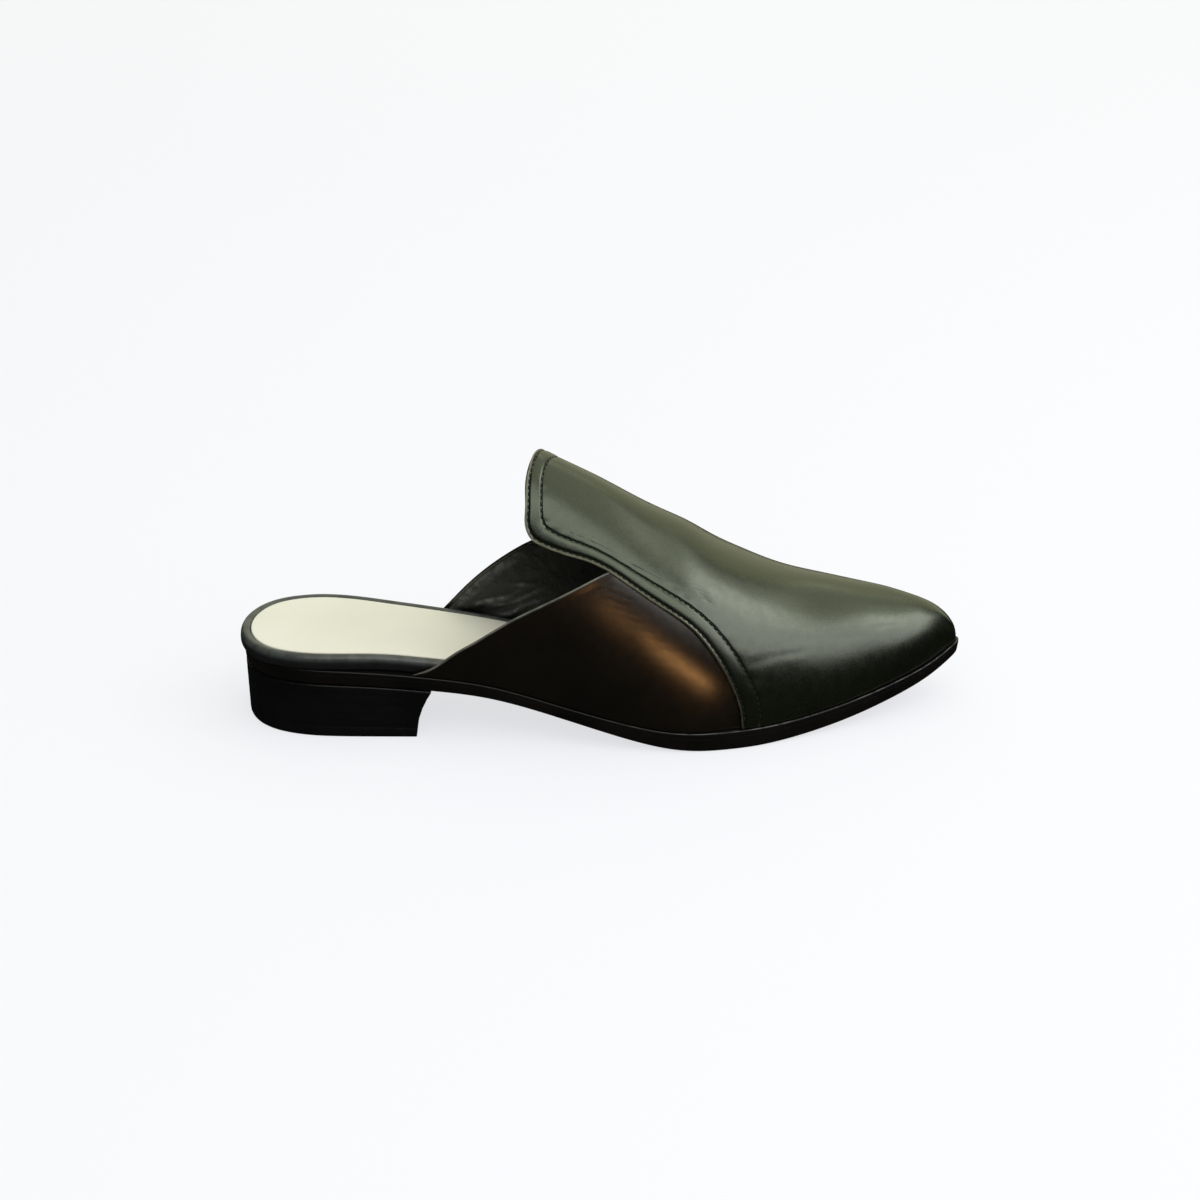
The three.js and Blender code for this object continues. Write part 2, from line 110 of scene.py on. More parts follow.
# The same on the inner side.
MEDIAL_TONGUE: Rows = (
    (0.4115, 0), (0.4185, 0.12), (0.4205, 0.23), (0.4165, 0.34), (0.409, 0.44), (0.407, 0.505),
    (0.412, 0.532), (0.4255, 0.539), (0.46, 0.527), (0.482, 0.518), (0.509, 0.52),
)

# Edge of the vamp from the notch to the feather. Columns: along, girth.
WING_EDGE: Rows = (
    (0.54, 0.538), (0.587, 0.571), (0.623, 0.615), (0.654, 0.706), (0.678, 0.83), (0.69, 0.95), (0.691, 1),
)

# Rear edge of the outer quarter, from the feather to the notch. Columns: along, girth.
LATERAL_QUARTER: Rows = (
    (0.243, 1), (0.268, 0.982), (0.298, 0.942), (0.328, 0.9), (0.365, 0.835), (0.417, 0.735), (0.477, 0.6),
)

# The same on the inner quarter.
MEDIAL_QUARTER: Rows = (
    (0.265, 1), (0.281, 0.97), (0.305, 0.919), (0.339, 0.846), (0.373, 0.773), (0.395, 0.726), (0.452, 0.62),
)


class Side(Enum):
    """The two sides of the sole outline. The value turns a slope into the inward direction."""

    LATERAL = 1
    MEDIAL = -1


# A ring of a solid: its points for shares along one side.
Level = Callable[[Array, Side], Array]


class Spline:
    """Natural cubic spline through values at rising knots."""

    def __init__(self, knots: Array, values: Array) -> None:
        """Solves the usual tridiagonal system for the second derivative at each knot.

        Args:
            knots: rising positions.
            values: the value at each knot.
        """
        self.knots = np.asarray(knots, float)
        self.values = np.asarray(values, float)
        gap = np.diff(self.knots)
        count = len(self.knots)
        inner = np.arange(1, count - 1)
        system = np.eye(count)
        system[inner, inner - 1] = gap[:-1]
        system[inner, inner] = 2 * (gap[:-1] + gap[1:])
        system[inner, inner + 1] = gap[1:]
        change = np.zeros(count)
        change[1:-1] = 6 * np.diff(np.diff(self.values) / gap)
        self.bend = np.linalg.solve(system, change)

    def __call__(self, at: Array) -> Array:
        """Value of the spline at each place: a line between two knots plus the cubic bend of both.

        Args:
            at: places between the first knot and the last.

        Returns:
            The value at each place.
        """
        at = np.asarray(at, float)
        left = np.clip(np.searchsorted(self.knots, at) - 1, 0, len(self.knots) - 2)
        gap = self.knots[left + 1] - self.knots[left]
        before = (self.knots[left + 1] - at) / gap
        after = (at - self.knots[left]) / gap
        bend = (before**3 - before) * self.bend[left] + (after**3 - after) * self.bend[left + 1]
        return before * self.values[left] + after * self.values[left + 1] + bend * gap**2 / 6


def column(rows: Rows, index: int) -> Array:
    """One column of a table."""
    return np.array([row[index] for row in rows], float)


def mix(start: Array | float, end: Array | float, share: Array | float) -> Array:
    """Linear mix of two values."""
    return start + (end - start) * share


def ease(value: Array | float, start: float, end: float) -> Array:
    """Smooth step from 0 at start to 1 at end: share squared times 3 less twice the share."""
    share = np.clip((np.asarray(value, float) - start) / (end - start), 0, 1)
    return share * share * (3 - 2 * share)


def bell(value: Array | float, width: float) -> Array:
    """Smooth hump of height 1 at 0: e to the power of minus the squared value over the width."""
    return np.exp(-((np.asarray(value, float) / width) ** 2))


def sweep_of(along: Array | float) -> Array:
    """Sweep whose cosine runs from 1 at the heel to -1 at the tip as along runs from 0 to 1."""
    return np.arccos(np.clip(1 - 2 * np.asarray(along, float), -1, 1))


def along_of(sweep: Array | float) -> Array:
    """Share of the length that belongs to a sweep."""
    return (1 - np.cos(sweep)) / 2


def lengths(points: Array) -> Array:
    """Running length along a polyline."""
    return np.concatenate([[0], np.cumsum(np.linalg.norm(np.diff(points, axis=0), axis=-1))])


def unit(vectors: Array) -> Array:
    """Vectors scaled to length 1."""
    return vectors / np.maximum(np.linalg.norm(vectors, axis=-1, keepdims=True), TINY)


@dataclass(frozen=True)
class Last:
    """The last that upper, sole and insole share. Sizes in millimetres."""

    length: float = 260.4
    ball_width: float = 84
    heel_rise: float = 20.5
    toe_spring: float = 15.5
    instep_height: float = 80
    sole_thickness: float = 5.5
    vamp_wall: float = 1.2
    upper_wall: float = 1.5
    clearance: float = 0.3
    toe_shelf: float = 1
    quarter_shelf: float = 0.8
    toe_blend: float = 6
    ridge_blend: float = 20
    ridge_shift: float = 4.2
    girth_power: float = 2.15
    tread_end: float = 0.7
    spring_power: float = 1.85
    shelf_change: tuple[float, float] = (0.6, 0.72)
    half_girth: float = 88
    box_steps: int = 2000

    @cached_property
    def lateral(self) -> Spline:
        """Outer half of the outline over the sweep."""
        return Spline(sweep_of(column(OUTLINE, 0)), column(OUTLINE, 1))

    @cached_property
    def medial(self) -> Spline:
        """Inner half of the outline over the sweep."""
        return Spline(sweep_of(column(OUTLINE, 0)), column(OUTLINE, 2))

    @cached_property
    def rise(self) -> Spline:
        """Rise of the sole's underside over the length."""
        return Spline(column(ARCH, 0), column(ARCH, 1))

    @cached_property
    def thick(self) -> Spline:
        """Thickness of the sole over the length."""
        return Spline(column(SOLE_SECTION, 0), column(SOLE_SECTION, 1))

    @cached_property
    def ridge(self) -> Spline:
        """Height of the instep line over the sweep."""
        return Spline(sweep_of(column(RIDGE, 0)), column(RIDGE, 1))

    def sole_bottom(self, along: Array) -> Array:
        """Underside of the sole: the heel rise times the arch, plus the toe spring times a power.

        Args:
            along: shares of the length, from 0 at the back to 1 at the tip.

        Returns:
            Heights above the floor, in millimetres.
        """
        spring = np.clip((along - self.tread_end) / (1 - self.tread_end), 0, None)
        arch = np.where(along < self.tread_end, np.maximum(0, self.rise(along)), 0)
        return self.heel_rise * arch + self.toe_spring * spring**self.spring_power

    def feather(self, along: Array) -> Array:
        """Line where upper and insole meet the sole."""
        return self.sole_bottom(along) + self.sole_thickness * self.thick(along)

    def edge_point(self, sweep: Array, side: Side) -> Array:
        """Sole edge in plan."""
        share = self.lateral(sweep) if side is Side.LATERAL else self.medial(sweep)
        return np.stack([self.length * along_of(sweep), self.ball_width * share], -1)

    def inset_point(self, sweep: Array, side: Side, inset: Array) -> Array:
        """Sole edge moved inward by a distance, square to the outline.

        Args:
            sweep: sweeps of the places.
            side: which side of the outline.
            inset: distance inward at each place, in millimetres.

        Returns:
            Points in plan, in millimetres.
        """
        at = np.clip(sweep, STEP, math.pi - STEP)
        slope = unit(self.edge_point(at + STEP, side) - self.edge_point(at - STEP, side))
        inward = side.value * np.stack([-slope[..., 1], slope[..., 0]], -1)
        inward = np.where((sweep < STEP)[..., None], (1.0, 0.0), inward)
        inward = np.where((sweep > math.pi - STEP)[..., None], (-1.0, 0.0), inward)
        return self.edge_point(sweep, side) + inward * np.asarray(inset)[..., None]

    def shelf(self, along: Array) -> Array:
        """Sole edge beyond the vamp's face, changing where the vamp takes over from the quarters."""
        behind = self.quarter_shelf - self.vamp_wall - self.clearance
        return mix(behind, self.toe_shelf, ease(along, *self.shelf_change))

    def _power(self, value: Array) -> Array:
        """Value raised to the power that squares the girth section, with its sign kept."""
        return np.sign(value) * np.abs(value) ** (2 / self.girth_power)

    def face(self, sweep: Array, girth: Array) -> Array:
        """Outer face of the vamp, carried on over the whole last.

        Across, it is the middle of the outline plus its half width times the powered sine of the fan angle,
        and a ridge shift that fades toward the feather. Upward, it is the feather line plus the instep
        height times the powered cosine.

        Args:
            sweep: sweeps of the places.
            girth: girths of the places.

        Returns:
            Points in millimetres.
        """
        along = along_of(sweep)
        shelf = self.shelf(along)
        lateral = self.ball_width * self.lateral(sweep)
        medial = self.ball_width * self.medial(sweep)
        full = (medial - lateral) / 2
        fan = girth * math.pi / 2
        half = full - shelf * np.minimum(1, full / self.toe_blend) * np.sin(fan) ** 2
        shift = self.ridge_shift * np.minimum(1, half / self.ridge_blend) * np.cos(fan) ** 2
        across = (lateral + medial) / 2 + half * self._power(np.sin(fan)) + shift
        up = self.feather(along) + self.instep_height * self.ridge(sweep) * np.abs(self._power(np.cos(fan)))
        return np.stack([along * (self.length - shelf), across, up], -1)

    def slopes(self, sweep: Array, girth: Array) -> tuple[Array, Array]:
        """Change of the face for a unit of sweep and for a unit of girth, by difference.

        Args:
            sweep: sweeps of the places.
            girth: girths of the places.

        Returns:
            Two vectors at each place: toward the tip and toward the inner side.
        """
        at = np.minimum(sweep, math.pi - 2 * STEP)
        across = np.clip(girth, STEP - 1, 1 - STEP)
        forward = (self.face(at + STEP, across) - self.face(at - STEP, across)) / (2 * STEP)
        over = (self.face(at, across + STEP / 2) - self.face(at, across - STEP / 2)) / STEP
        return forward, over

    def outward(self, sweep: Array, girth: Array) -> Array:
        """Direction square to the face, forward at the very tip.

        Args:
            sweep: sweeps of the places.
            girth: girths of the places.

        Returns:
            A vector of length 1 at each place.
        """
        forward, over = self.slopes(sweep, girth)
        tip = (np.asarray(sweep) > math.pi - STEP)[..., None]
        return np.where(tip, (1.0, 0.0, 0.0), unit(np.cross(forward, over)))

    def point(self, sweep: Array, girth: Array, depth: Array | float) -> Array:
        """Point at a depth below the vamp's outer face, square to it."""
        depth = np.broadcast_to(depth, np.shape(sweep))
        return self.face(sweep, girth) - self.outward(sweep, girth) * depth[..., None]

    def place(self) -> Array:
        """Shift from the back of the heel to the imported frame, from the sole's own box.

        Returns:
            The shift in millimetres.
        """
        low, high = (np.array(corner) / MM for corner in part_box("outsole"))
        sweep = np.linspace(0, math.pi, self.box_steps)
        outer = self.edge_point(sweep, Side.LATERAL)[:, 1].min()
        inner = self.edge_point(sweep, Side.MEDIAL)[:, 1].max()
        return np.array([high[0] - self.length, (low[1] + high[1] - outer - inner) / 2, 0])


@dataclass
class Patch:
    """A grid of points in millimetres, with one number per point for the material."""

    points: Array
    mark: Array | float = 0.0


def make_mesh(name: str, patches: list[Patch], shift: Array, sharp: float = 45) -> bpy.types.Object:
    """Joins grids into one closed mesh with outward faces.

    Args:
        name: name of the piece.
        patches: grids whose shared borders hold the same points.
        shift: move from the last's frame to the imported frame, in millimetres.
        sharp: angle in degrees above which an edge is shaded sharp.

    Returns:
        The new object, at the origin.
    """
    points, faces, marks = [], [], []
    first = 0
    for patch in patches:
        rows, columns = patch.points.shape[:2]
        index = first + np.arange(rows * columns).reshape(rows, columns)
        corners = [index[:-1, :-1], index[:-1, 1:], index[1:, 1:], index[1:, :-1]]
        faces.append(np.stack(corners, -1).reshape(-1, 4))
        points.append(patch.points.reshape(-1, 3))
        marks.append(np.broadcast_to(patch.mark, (rows, columns)).ravel())
        first += rows * columns
    mesh = bpy.data.meshes.new(name)
    mesh.from_pydata((np.concatenate(points) + shift) * MM, [], np.concatenate(faces).tolist())
    layer = mesh.attributes.new("edge", "FLOAT", "POINT")
    layer.data.foreach_set("value", np.concatenate(marks).astype(np.float32))
    joined = bmesh.new()
    joined.from_mesh(mesh)
    bmesh.ops.remove_doubles(joined, verts=joined.verts, dist=WELD)
    bmesh.ops.recalc_face_normals(joined, faces=joined.faces)
    joined.to_mesh(mesh)
    joined.free()
    mesh.shade_smooth()
    mesh.set_sharp_from_angle(angle=math.radians(sharp))
    piece = bpy.data.objects.new(name, mesh)
    bpy.context.scene.collection.objects.link(piece)
    return piece


def report(piece: bpy.types.Object) -> None:
    """Logs a piece's size and its triangles.

    Args:
        piece: a finished piece.
    """
    triangles = sum(len(face.vertices) - 2 for face in piece.data.polygons)
    sides = [round(side / MM, 1) for side in piece.dimensions]
    log.info("%s: %d triangles, %s mm", piece.name, triangles, sides)


class Shader:
    """A material's node tree, with short ways to add the nodes that leather needs."""

    def __init__(self, name: str) -> None:
        """Starts a principled material that reads object coordinates.

        Args:
            name: name of the material.
        """
        self.material = bpy.data.materials.new(name)
        self.material.use_nodes = True
        self.tree = self.material.node_tree
        self.surface = self.tree.nodes["Principled BSDF"]
        self.place = self.tree.nodes.new("ShaderNodeTexCoord").outputs["Object"]

    def node(self, kind: str, inputs: dict[str | int, Socket | float], **settings: str) -> bpy.types.Node:
        """Adds a node, sets its own settings and fills or links its inputs.

        Args:
            kind: Blender's name of the node.
            inputs: a value or a socket for each input.
            settings: the node's own settings by name.

        Returns:
            The new node.
        """
        made = self.tree.nodes.new(kind)
        for key, value in settings.items():
            setattr(made, key, value)
        for key, value in inputs.items():
            if isinstance(value, Socket):
                self.tree.links.new(value, made.inputs[key])
            else:
                made.inputs[key].default_value = value
        return made

    def noise(self, size: float, detail: float = 3, roughness: float = 0.5) -> Socket:
        """Fractal noise whose features are about as large as size, in millimetres.

        Args:
            size: size of the features.
            detail: number of finer layers.
            roughness: strength of each finer layer as a share of the one before.

        Returns:
            The noise, about 0 to 1.
        """
        return self.node("ShaderNodeTexNoise", {
            "Vector": self.place, "Scale": 1 / (size * MM), "Detail": detail, "Roughness": roughness,
        }).outputs["Fac"]

    def ranged(self, value: Socket, start: float, end: float, low: float, high: float) -> Socket:
        """Value from start to end mapped smoothly to low to high.

        Args:
            value: the number to map.
            start: its value for the low end.
            end: its value for the high end.
            low: result at the low end.
            high: result at the high end.

        Returns:
            The mapped number.
        """
        return self.node("ShaderNodeMapRange", {
            "Value": value, "From Min": start, "From Max": end, "To Min": low, "To Max": high,
        }, interpolation_type="SMOOTHSTEP").outputs["Result"]

    def blend(self, share: Socket, low: Socket | Color, high: Socket | Color) -> Socket:
        """Linear mix of two colours.

        Args:
            share: 0 for all low, 1 for all high.
            low: a colour or a socket.
            high: a colour or a socket.

        Returns:
            The mixed colour.
        """
        made = self.tree.nodes.new("ShaderNodeMix")
        made.data_type = "RGBA"
        self.tree.links.new(share, made.inputs["Factor"])
        for socket, value in ((made.inputs[6], low), (made.inputs[7], high)):
            if isinstance(value, Socket):
                self.tree.links.new(value, socket)
            else:
                socket.default_value = (*value, 1)
        return made.outputs[2]

    def bump(self, height: Socket, depth: float, below: Socket | None = None) -> Socket:
        """Bump whose height runs over depth millimetres, on top of another bump.

        Args:
            height: the pattern, 0 to 1.
            depth: how high it stands, in millimetres.
            below: the bump that it lies on.

        Returns:
            The bent normal.
        """
        inputs = {"Height": height, "Distance": depth * MM, "Strength": 1.0}
        if below is not None:
            inputs["Normal"] = below
        return self.node("ShaderNodeBump", inputs).outputs["Normal"]

    def attribute(self, name: str) -> Socket:
        """A number stored on the piece's points."""
        return self.node("ShaderNodeAttribute", {}, attribute_name=name).outputs["Fac"]


@dataclass(frozen=True)
class LeatherFinish:
    """A leather finish. Sizes and depths in millimetres."""

    name: str
    color: Color
    cast: Color
    edge_color: Color
    roughness: float = 0.36
    roughness_spread: float = 0.05
    grain_size: float = 1.1
    grain_depth: float = 0.014
    pore_size: float = 0.42
    pore_depth: float = 0.006
    wave_size: float = 8
    wave_depth: float = 0.06
    # Noise that breaks up the edge colour, mostly a painted highlight: its size and the least share it
    # leaves.
    mottle_size: float = 5
    mottle_least: float = 0.6
    tint: Color = (1, 1, 1)
    ior: float = 1.5

    # Noise values between which edge mottling, and tone and gloss, run from their low to their high end.
    mottle_range: tuple[float, float] = (0.42, 0.58)
    tone_range: tuple[float, float] = (0.3, 0.7)

    # Size of the tone's clouds in waves, and of the gloss's spots in grains.
    tone_scale: float = 2.5
    gloss_scale: float = 4

    def make(self) -> bpy.types.Material:
        """Builds the material: two tones, an edge colour, uneven gloss, slow waves, grain and pores.

        Returns:
            The new material.
        """
        shader = Shader(self.name)
        surface = shader.surface
        # Edge colour where the piece's edge mark says, mottled by noise: on most pieces a painted highlight
        # or sheen.
        uneven = shader.ranged(shader.noise(self.mottle_size), *self.mottle_range, self.mottle_least, 1)
        edge_band = shader.node("ShaderNodeMath", {0: shader.attribute("edge"), 1: uneven}, operation="MULTIPLY")
        cloud = shader.noise(self.wave_size * self.tone_scale, 4)
        body = shader.blend(shader.ranged(cloud, *self.tone_range, 0, 1), self.color, self.cast)
        surface_color = shader.blend(edge_band.outputs[0], body, self.edge_color)
        shader.tree.links.new(surface_color, surface.inputs["Base Color"])
        low = self.roughness - self.roughness_spread
        high = self.roughness + self.roughness_spread
        spots = shader.noise(self.grain_size * self.gloss_scale, 5, 0.6)
        rough = shader.ranged(spots, *self.tone_range, low, high)
        shader.tree.links.new(rough, surface.inputs["Roughness"])
        waves = shader.bump(shader.noise(self.wave_size, 2), self.wave_depth)
        grained = shader.bump(shader.noise(self.grain_size, 3, 0.6), self.grain_depth, waves)
        pores = shader.bump(shader.noise(self.pore_size, 2, 0.6), self.pore_depth, grained)
        shader.tree.links.new(pores, surface.inputs["Normal"])
        surface.inputs["Specular Tint"].default_value = (*self.tint, 1)
        surface.inputs["IOR"].default_value = self.ior
        return shader.material


# Edge colour: the raw cut edge's tan, partly a painted highlight where the rounded lip catches light.
VAMP_LEATHER = LeatherFinish(
    "olive_black_calf", (0.0018, 0.0025, 0.001), (0.0032, 0.0035, 0.0015), (0.15, 0.132, 0.086),
    roughness=0.27, roughness_spread=0.03, wave_depth=0.035, tint=(0.88, 1.0, 0.75), ior=1.85,
)
# Edge colour: a painted highlight along the folded edge, with a little burnish of its own.
QUARTER_LEATHER = LeatherFinish(
    "black_calf", (0.0018, 0.0017, 0.0012), (0.003, 0.0024, 0.0015), (0.13, 0.13, 0.11),
    roughness=0.25, roughness_spread=0.02, grain_size=0.7, grain_depth=0.01, pore_depth=0.005,
    wave_depth=0.03, tint=(1.0, 0.97, 0.9), ior=1.75,
)
# Edge colour: painted sheen on the rolled edge and painted highlight on the tops of the wrinkles.
LINING_LEATHER = LeatherFinish(
    "black_lining", (0.002, 0.0026, 0.002), (0.0035, 0.0042, 0.0034), (0.16, 0.172, 0.16),
    roughness=0.4, wave_size=3, wave_depth=0.3, mottle_size=2.5, mottle_least=0.35, ior=1.6,
)
# Edge colour: a painted highlight on the rim's top, its inner slope and the recess.
RIM_LEATHER = LeatherFinish(
    "soft_black_rim", (0.0035, 0.004, 0.0034), (0.005, 0.0055, 0.005), (0.05, 0.058, 0.052),
    roughness=0.42, wave_depth=0.06, ior=1.7,
)
SOCK_LEATHER = LeatherFinish(
    "cream_sock", (0.72, 0.70, 0.61), (0.69, 0.67, 0.58), (0.6, 0.56, 0.45),
    roughness=0.62, roughness_spread=0.05, grain_size=0.7, grain_depth=0.012, wave_size=14, wave_depth=0.08,
)
# Edge colour: a painted highlight along the sole's top edge, broken by the noise.
SOLE_LEATHER = LeatherFinish(
    "inked_sole_edge", (0.0018, 0.0016, 0.0013), (0.0035, 0.0027, 0.0018), (0.16, 0.165, 0.155),
    roughness=0.36, grain_size=0.5, mottle_size=4, mottle_least=0.05,
)
HEEL_LEATHER = LeatherFinish(
    "polished_heel", (0.0014, 0.0014, 0.0015), (0.0024, 0.0023, 0.0022), (0.004, 0.004, 0.004),
    roughness=0.36, grain_size=0.5,
)
THREAD = LeatherFinish(
    "waxed_thread", (0.004, 0.004, 0.004), (0.006, 0.006, 0.005), (0.006, 0.006, 0.005),
    roughness=0.55, grain_size=0.2, grain_depth=0.01, wave_depth=0,
)


@dataclass
class Panel:
    """A leather panel on the last, from its rear edge to the tip of the toe.

    Near the edge its rows keep a true distance from it, more or less where spread says so. From the last of
    these rows they run on to the tip. The relief is on the outer face, or on the inner one of a backed panel.
    That face is lighter at its edge, part rubbing and part painted sheen: the edge function says how much
    along the edge, and another function puts a painted highlight on the tops of the folds.
    """

    last: Last
    name: str
    edge: Array
    outer_depth: float
    inner_depth: float
    relief: Callable[[Array, Array, Array, Array], Array]
    columns: int = 400
    near_rows: tuple[float, ...] = ()
    far_rows: int = 78
    lip: float = 0.45
    # Distances from the edge over which the lighter band, part rubbing and part painted sheen, fades out.
    edge_band: tuple[float, float] = (0.27, 0.68)
    rub_and_sheen: Callable[[Array], Array] | None = None
    margin: float = 9.0
    spread: Callable[[Array], Array] | None = None
    backed: bool = False
    crowding: float = 1.0
    crest_highlight: Callable[[Array, Array], Array] | None = None
    line: Array = field(init=False)
    inward: Array = field(init=False)
    run: Array = field(init=False)

    # Smoothing of the inward direction, in columns: its reach and its width.
    smooth_reach: int = 6
    smooth_width: float = 3

    # Distance from the feather, in millimetres, over which the rows begin to move round the girth.
    feather_fade: float = 5

    # Steps round the lip, even steps to the margin, and the rows that lie close to a named row.
    lip_steps: int = 6
    even_steps: int = 12
    close_rows: tuple[float, ...] = (-0.6, -0.4, -0.25, -0.12, 0, 0.12, 0.25, 0.4, 0.6)
    least_gap: float = 0.05

    # Sweep before the tip over which the relief fades out.
    tip_fade: float = 0.12

    def __post_init__(self) -> None:
        """Spreads the columns evenly along the edge and finds the inward direction at each."""
        depth = (self.outer_depth + self.inner_depth) / 2
        solid = self.last.point(sweep_of(self.edge[:, 0]), self.edge[:, 1], depth)
        run = lengths(solid)
        self.run = np.linspace(0, run[-1], self.columns + 1)
        self.line = np.stack([np.interp(self.run, run, self.edge[:, axis]) for axis in (0, 1)], -1)
        self.inward = self._inward(depth)

    def _inward(self, depth: float) -> Array:
        """Change of sweep and girth for one millimetre into the panel, square to the edge.

        The direction is the edge's tangent crossed with the outward direction, smoothed along the edge. The
        two changes are the least squares fit of the face's slopes to it.

        Args:
            depth: depth of the panel's middle below the vamp's face, in millimetres.

        Returns:
            A row for each column of the panel: change of sweep and change of girth.
        """
        sweep = sweep_of(self.line[:, 0])
        girth = self.line[:, 1]
        solid = self.last.point(sweep, girth, depth)
        tangent = unit(np.gradient(solid, axis=0))
        outward = self.last.outward(sweep, girth)
        into = np.cross(tangent, outward)
        reach = self.smooth_reach
        weights = bell(np.arange(-reach, reach + 1), self.smooth_width)
        padded = np.pad(into, ((reach, reach), (0, 0)), mode="edge")
        into = unit(sum(weight * padded[i:i + len(into)] for i, weight in enumerate(weights)))
        forward, over = self.last.slopes(sweep, girth)
        aa = (forward * forward).sum(-1)
        bb = (over * over).sum(-1)
        ab = (forward * over).sum(-1)
        da = (forward * into).sum(-1)
        db = (over * into).sum(-1)
        scale = aa * bb - ab * ab
        moves = np.stack([(bb * da - ab * db) / scale, (aa * db - ab * da) / scale], -1)
        ends = np.minimum(self.run, self.run[-1] - self.run)
        moves[:, 1] *= ease(ends, 0, self.feather_fade)
        return moves

    def spots(self, distance: Array) -> tuple[Array, Array]:
        """Sweep and girth at distances from the edge: the edge's own plus the inward change for each.

        Args:
            distance: one value for each row, in millimetres.

        Returns:
            Sweep and girth, both with a row for each distance and a column for each place on the edge.
        """
        wider = self.spread(self.line) if self.spread else np.zeros(len(self.line))
        away = distance[:, None] * (1 + wider[None, :] * distance[:, None] / self.margin)
        sweep = sweep_of(self.line[None, :, 0]) + self.inward[None, :, 0] * away
        girth = self.line[None, :, 1] + self.inward[None, :, 1] * away
        return sweep, np.clip(girth, -1, 1)

    def distances(self) -> tuple[Array, Array]:
        """Distance from the edge and lip depth of each row near the edge, from the edge inward.

        Returns:
            Distances and depths, both in millimetres.
        """
        turn = np.linspace(math.pi / 2, 0, self.lip_steps)
        lip_distance = self.lip * (1 - np.sin(turn))
        lip_depth = self.lip * (1 - np.cos(turn))
        even = np.linspace(self.lip, self.margin, self.even_steps)[1:]
        close = np.array(self.close_rows)
        rows = np.concatenate([even, *(row + close for row in self.near_rows)])
        rows = np.unique(np.round(rows[rows > self.lip + self.least_gap], 3))
        return np.concatenate([lip_distance, rows]), np.concatenate([lip_depth, np.zeros(len(rows))])

    def skin(self, outer: bool) -> Patch:
        """One face of the panel: rows from the edge to the tip, columns from lateral to medial.

        Beyond the margin the rows are a linear mix of the last near row and the tip. The depth of a point is
        the face's depth, plus or less the lip's rounding, less the relief, which fades out before the tip.

        Args:
            outer: true for the outer face, false for the inner one.

        Returns:
            The face as a grid.
        """
        distance, lip_depth = self.distances()
        sweep, girth = self.spots(distance)
        share = np.linspace(0, 1, self.far_rows + 1)[1:, None] ** self.crowding
        spread = np.linspace(-1, 1, self.columns + 1)
        far_sweep = mix(sweep[-1], math.pi, share)
        far_girth = mix(girth[-1], spread, share)
        far_distance = self.margin + share * (self.last.length * (1 - self.line[None, :, 0]))
        sweep = np.concatenate([sweep, far_sweep])
        girth = np.concatenate([girth, far_girth])
        near_distance = np.broadcast_to(distance[:, None], (len(distance), self.columns + 1))
        away = np.concatenate([near_distance, far_distance])
        lip_depth = np.concatenate([lip_depth, np.zeros(self.far_rows)])[:, None]
        depth = self.outer_depth + lip_depth if outer else self.inner_depth - lip_depth
        mark = np.zeros_like(away)
        # Relief face: lighter edge, part rubbing and part painted sheen; painted highlight on fold tops.
        if outer != self.backed:
            mark = self.edge_rub_and_sheen() * (1 - ease(away, *self.edge_band))
            fade = ease(math.pi - sweep, 0, self.tip_fade)
            depth = depth - self.relief(sweep, girth, away, self.run[None, :]) * fade
            if self.crest_highlight:
                mark = np.maximum(mark, self.crest_highlight(sweep, girth))
        points = self.last.point(sweep, girth, depth)
        points[-1] = points[-1].mean(0)
        return Patch(points, mark)

    def edge_rub_and_sheen(self) -> Array:
        """How light the edge is at each column, part rubbing and part painted sheen."""
        return self.rub_and_sheen(self.line) if self.rub_and_sheen else np.ones(len(self.line))

    def patches(self) -> list[Patch]:
        """Both faces, the strip round the edge and the two strips under the feather.

        Returns:
            Five grids that close the panel.
        """
        outer = self.skin(True)
        inner = self.skin(False)
        marks = np.stack([outer.mark[0], inner.mark[0]])
        strips = [Patch(np.stack([outer.points[0], inner.points[0]]), marks)]
        for side in (0, -1):
            strips.append(Patch(np.stack([outer.points[:, side], inner.points[:, side]])))
        return [outer, inner, *strips]

    def row(self, distance: float) -> tuple[Array, Array]:
        """Points and outward directions along a line at a distance from the edge.

        Args:
            distance: distance from the edge, in millimetres.

        Returns:
            Points in millimetres and vectors of length 1, one for each column.
        """
        sweep, girth = self.spots(np.array([distance]))
        away = np.full_like(sweep, distance)
        raised = self.relief(sweep, girth, away, self.run[None, :])
        points = self.last.point(sweep, girth, self.outer_depth - raised)
        return points[0], self.last.outward(sweep, girth)[0]


def signed(rows: Rows, side: int) -> Array:
    """A side's table with its girths signed: lateral girths are negative."""
    return np.array([(along, side * girth) for along, girth in rows])


def over_ridge(lateral: Rows, medial: Rows) -> Array:
    """One line of places from the outer side over the ridge to the inner side."""
    return np.concatenate([signed(lateral[1:], -1)[::-1], signed(medial, 1)])


def smooth_line(last: Last, rows: Array, count: int = 600) -> Array:
    """Spline through panel rows by their distance along the panel, as count points.

    Args:
        last: the last that the panel lies on.
        rows: along and girth of the chosen places.
        count: number of points.

    Returns:
        Along and girth of each point.
    """
    gaps = np.diff(rows, axis=0) * (last.length, last.half_girth)
    run = np.concatenate([[0], np.cumsum(np.linalg.norm(gaps, axis=1))])
    at = np.linspace(0, run[-1], count)
    return np.stack([Spline(run, rows[:, 0])(at), Spline(run, rows[:, 1])(at)], -1)


def moved_in(last: Last, line: Array, distance: float) -> Array:
    """Line moved into the panel, which lies on its toe side.

    Args:
        last: the last that the panel lies on.
        line: along and girth of the line's points.
        distance: how far it moves, in millimetres.

    Returns:
        Along and girth of the moved points.
    """
    scale = np.array([last.length, last.half_girth])
    slope = unit(np.gradient(line * scale, axis=0))
    return line + distance * np.stack([slope[:, 1], -slope[:, 0]], -1) / scale


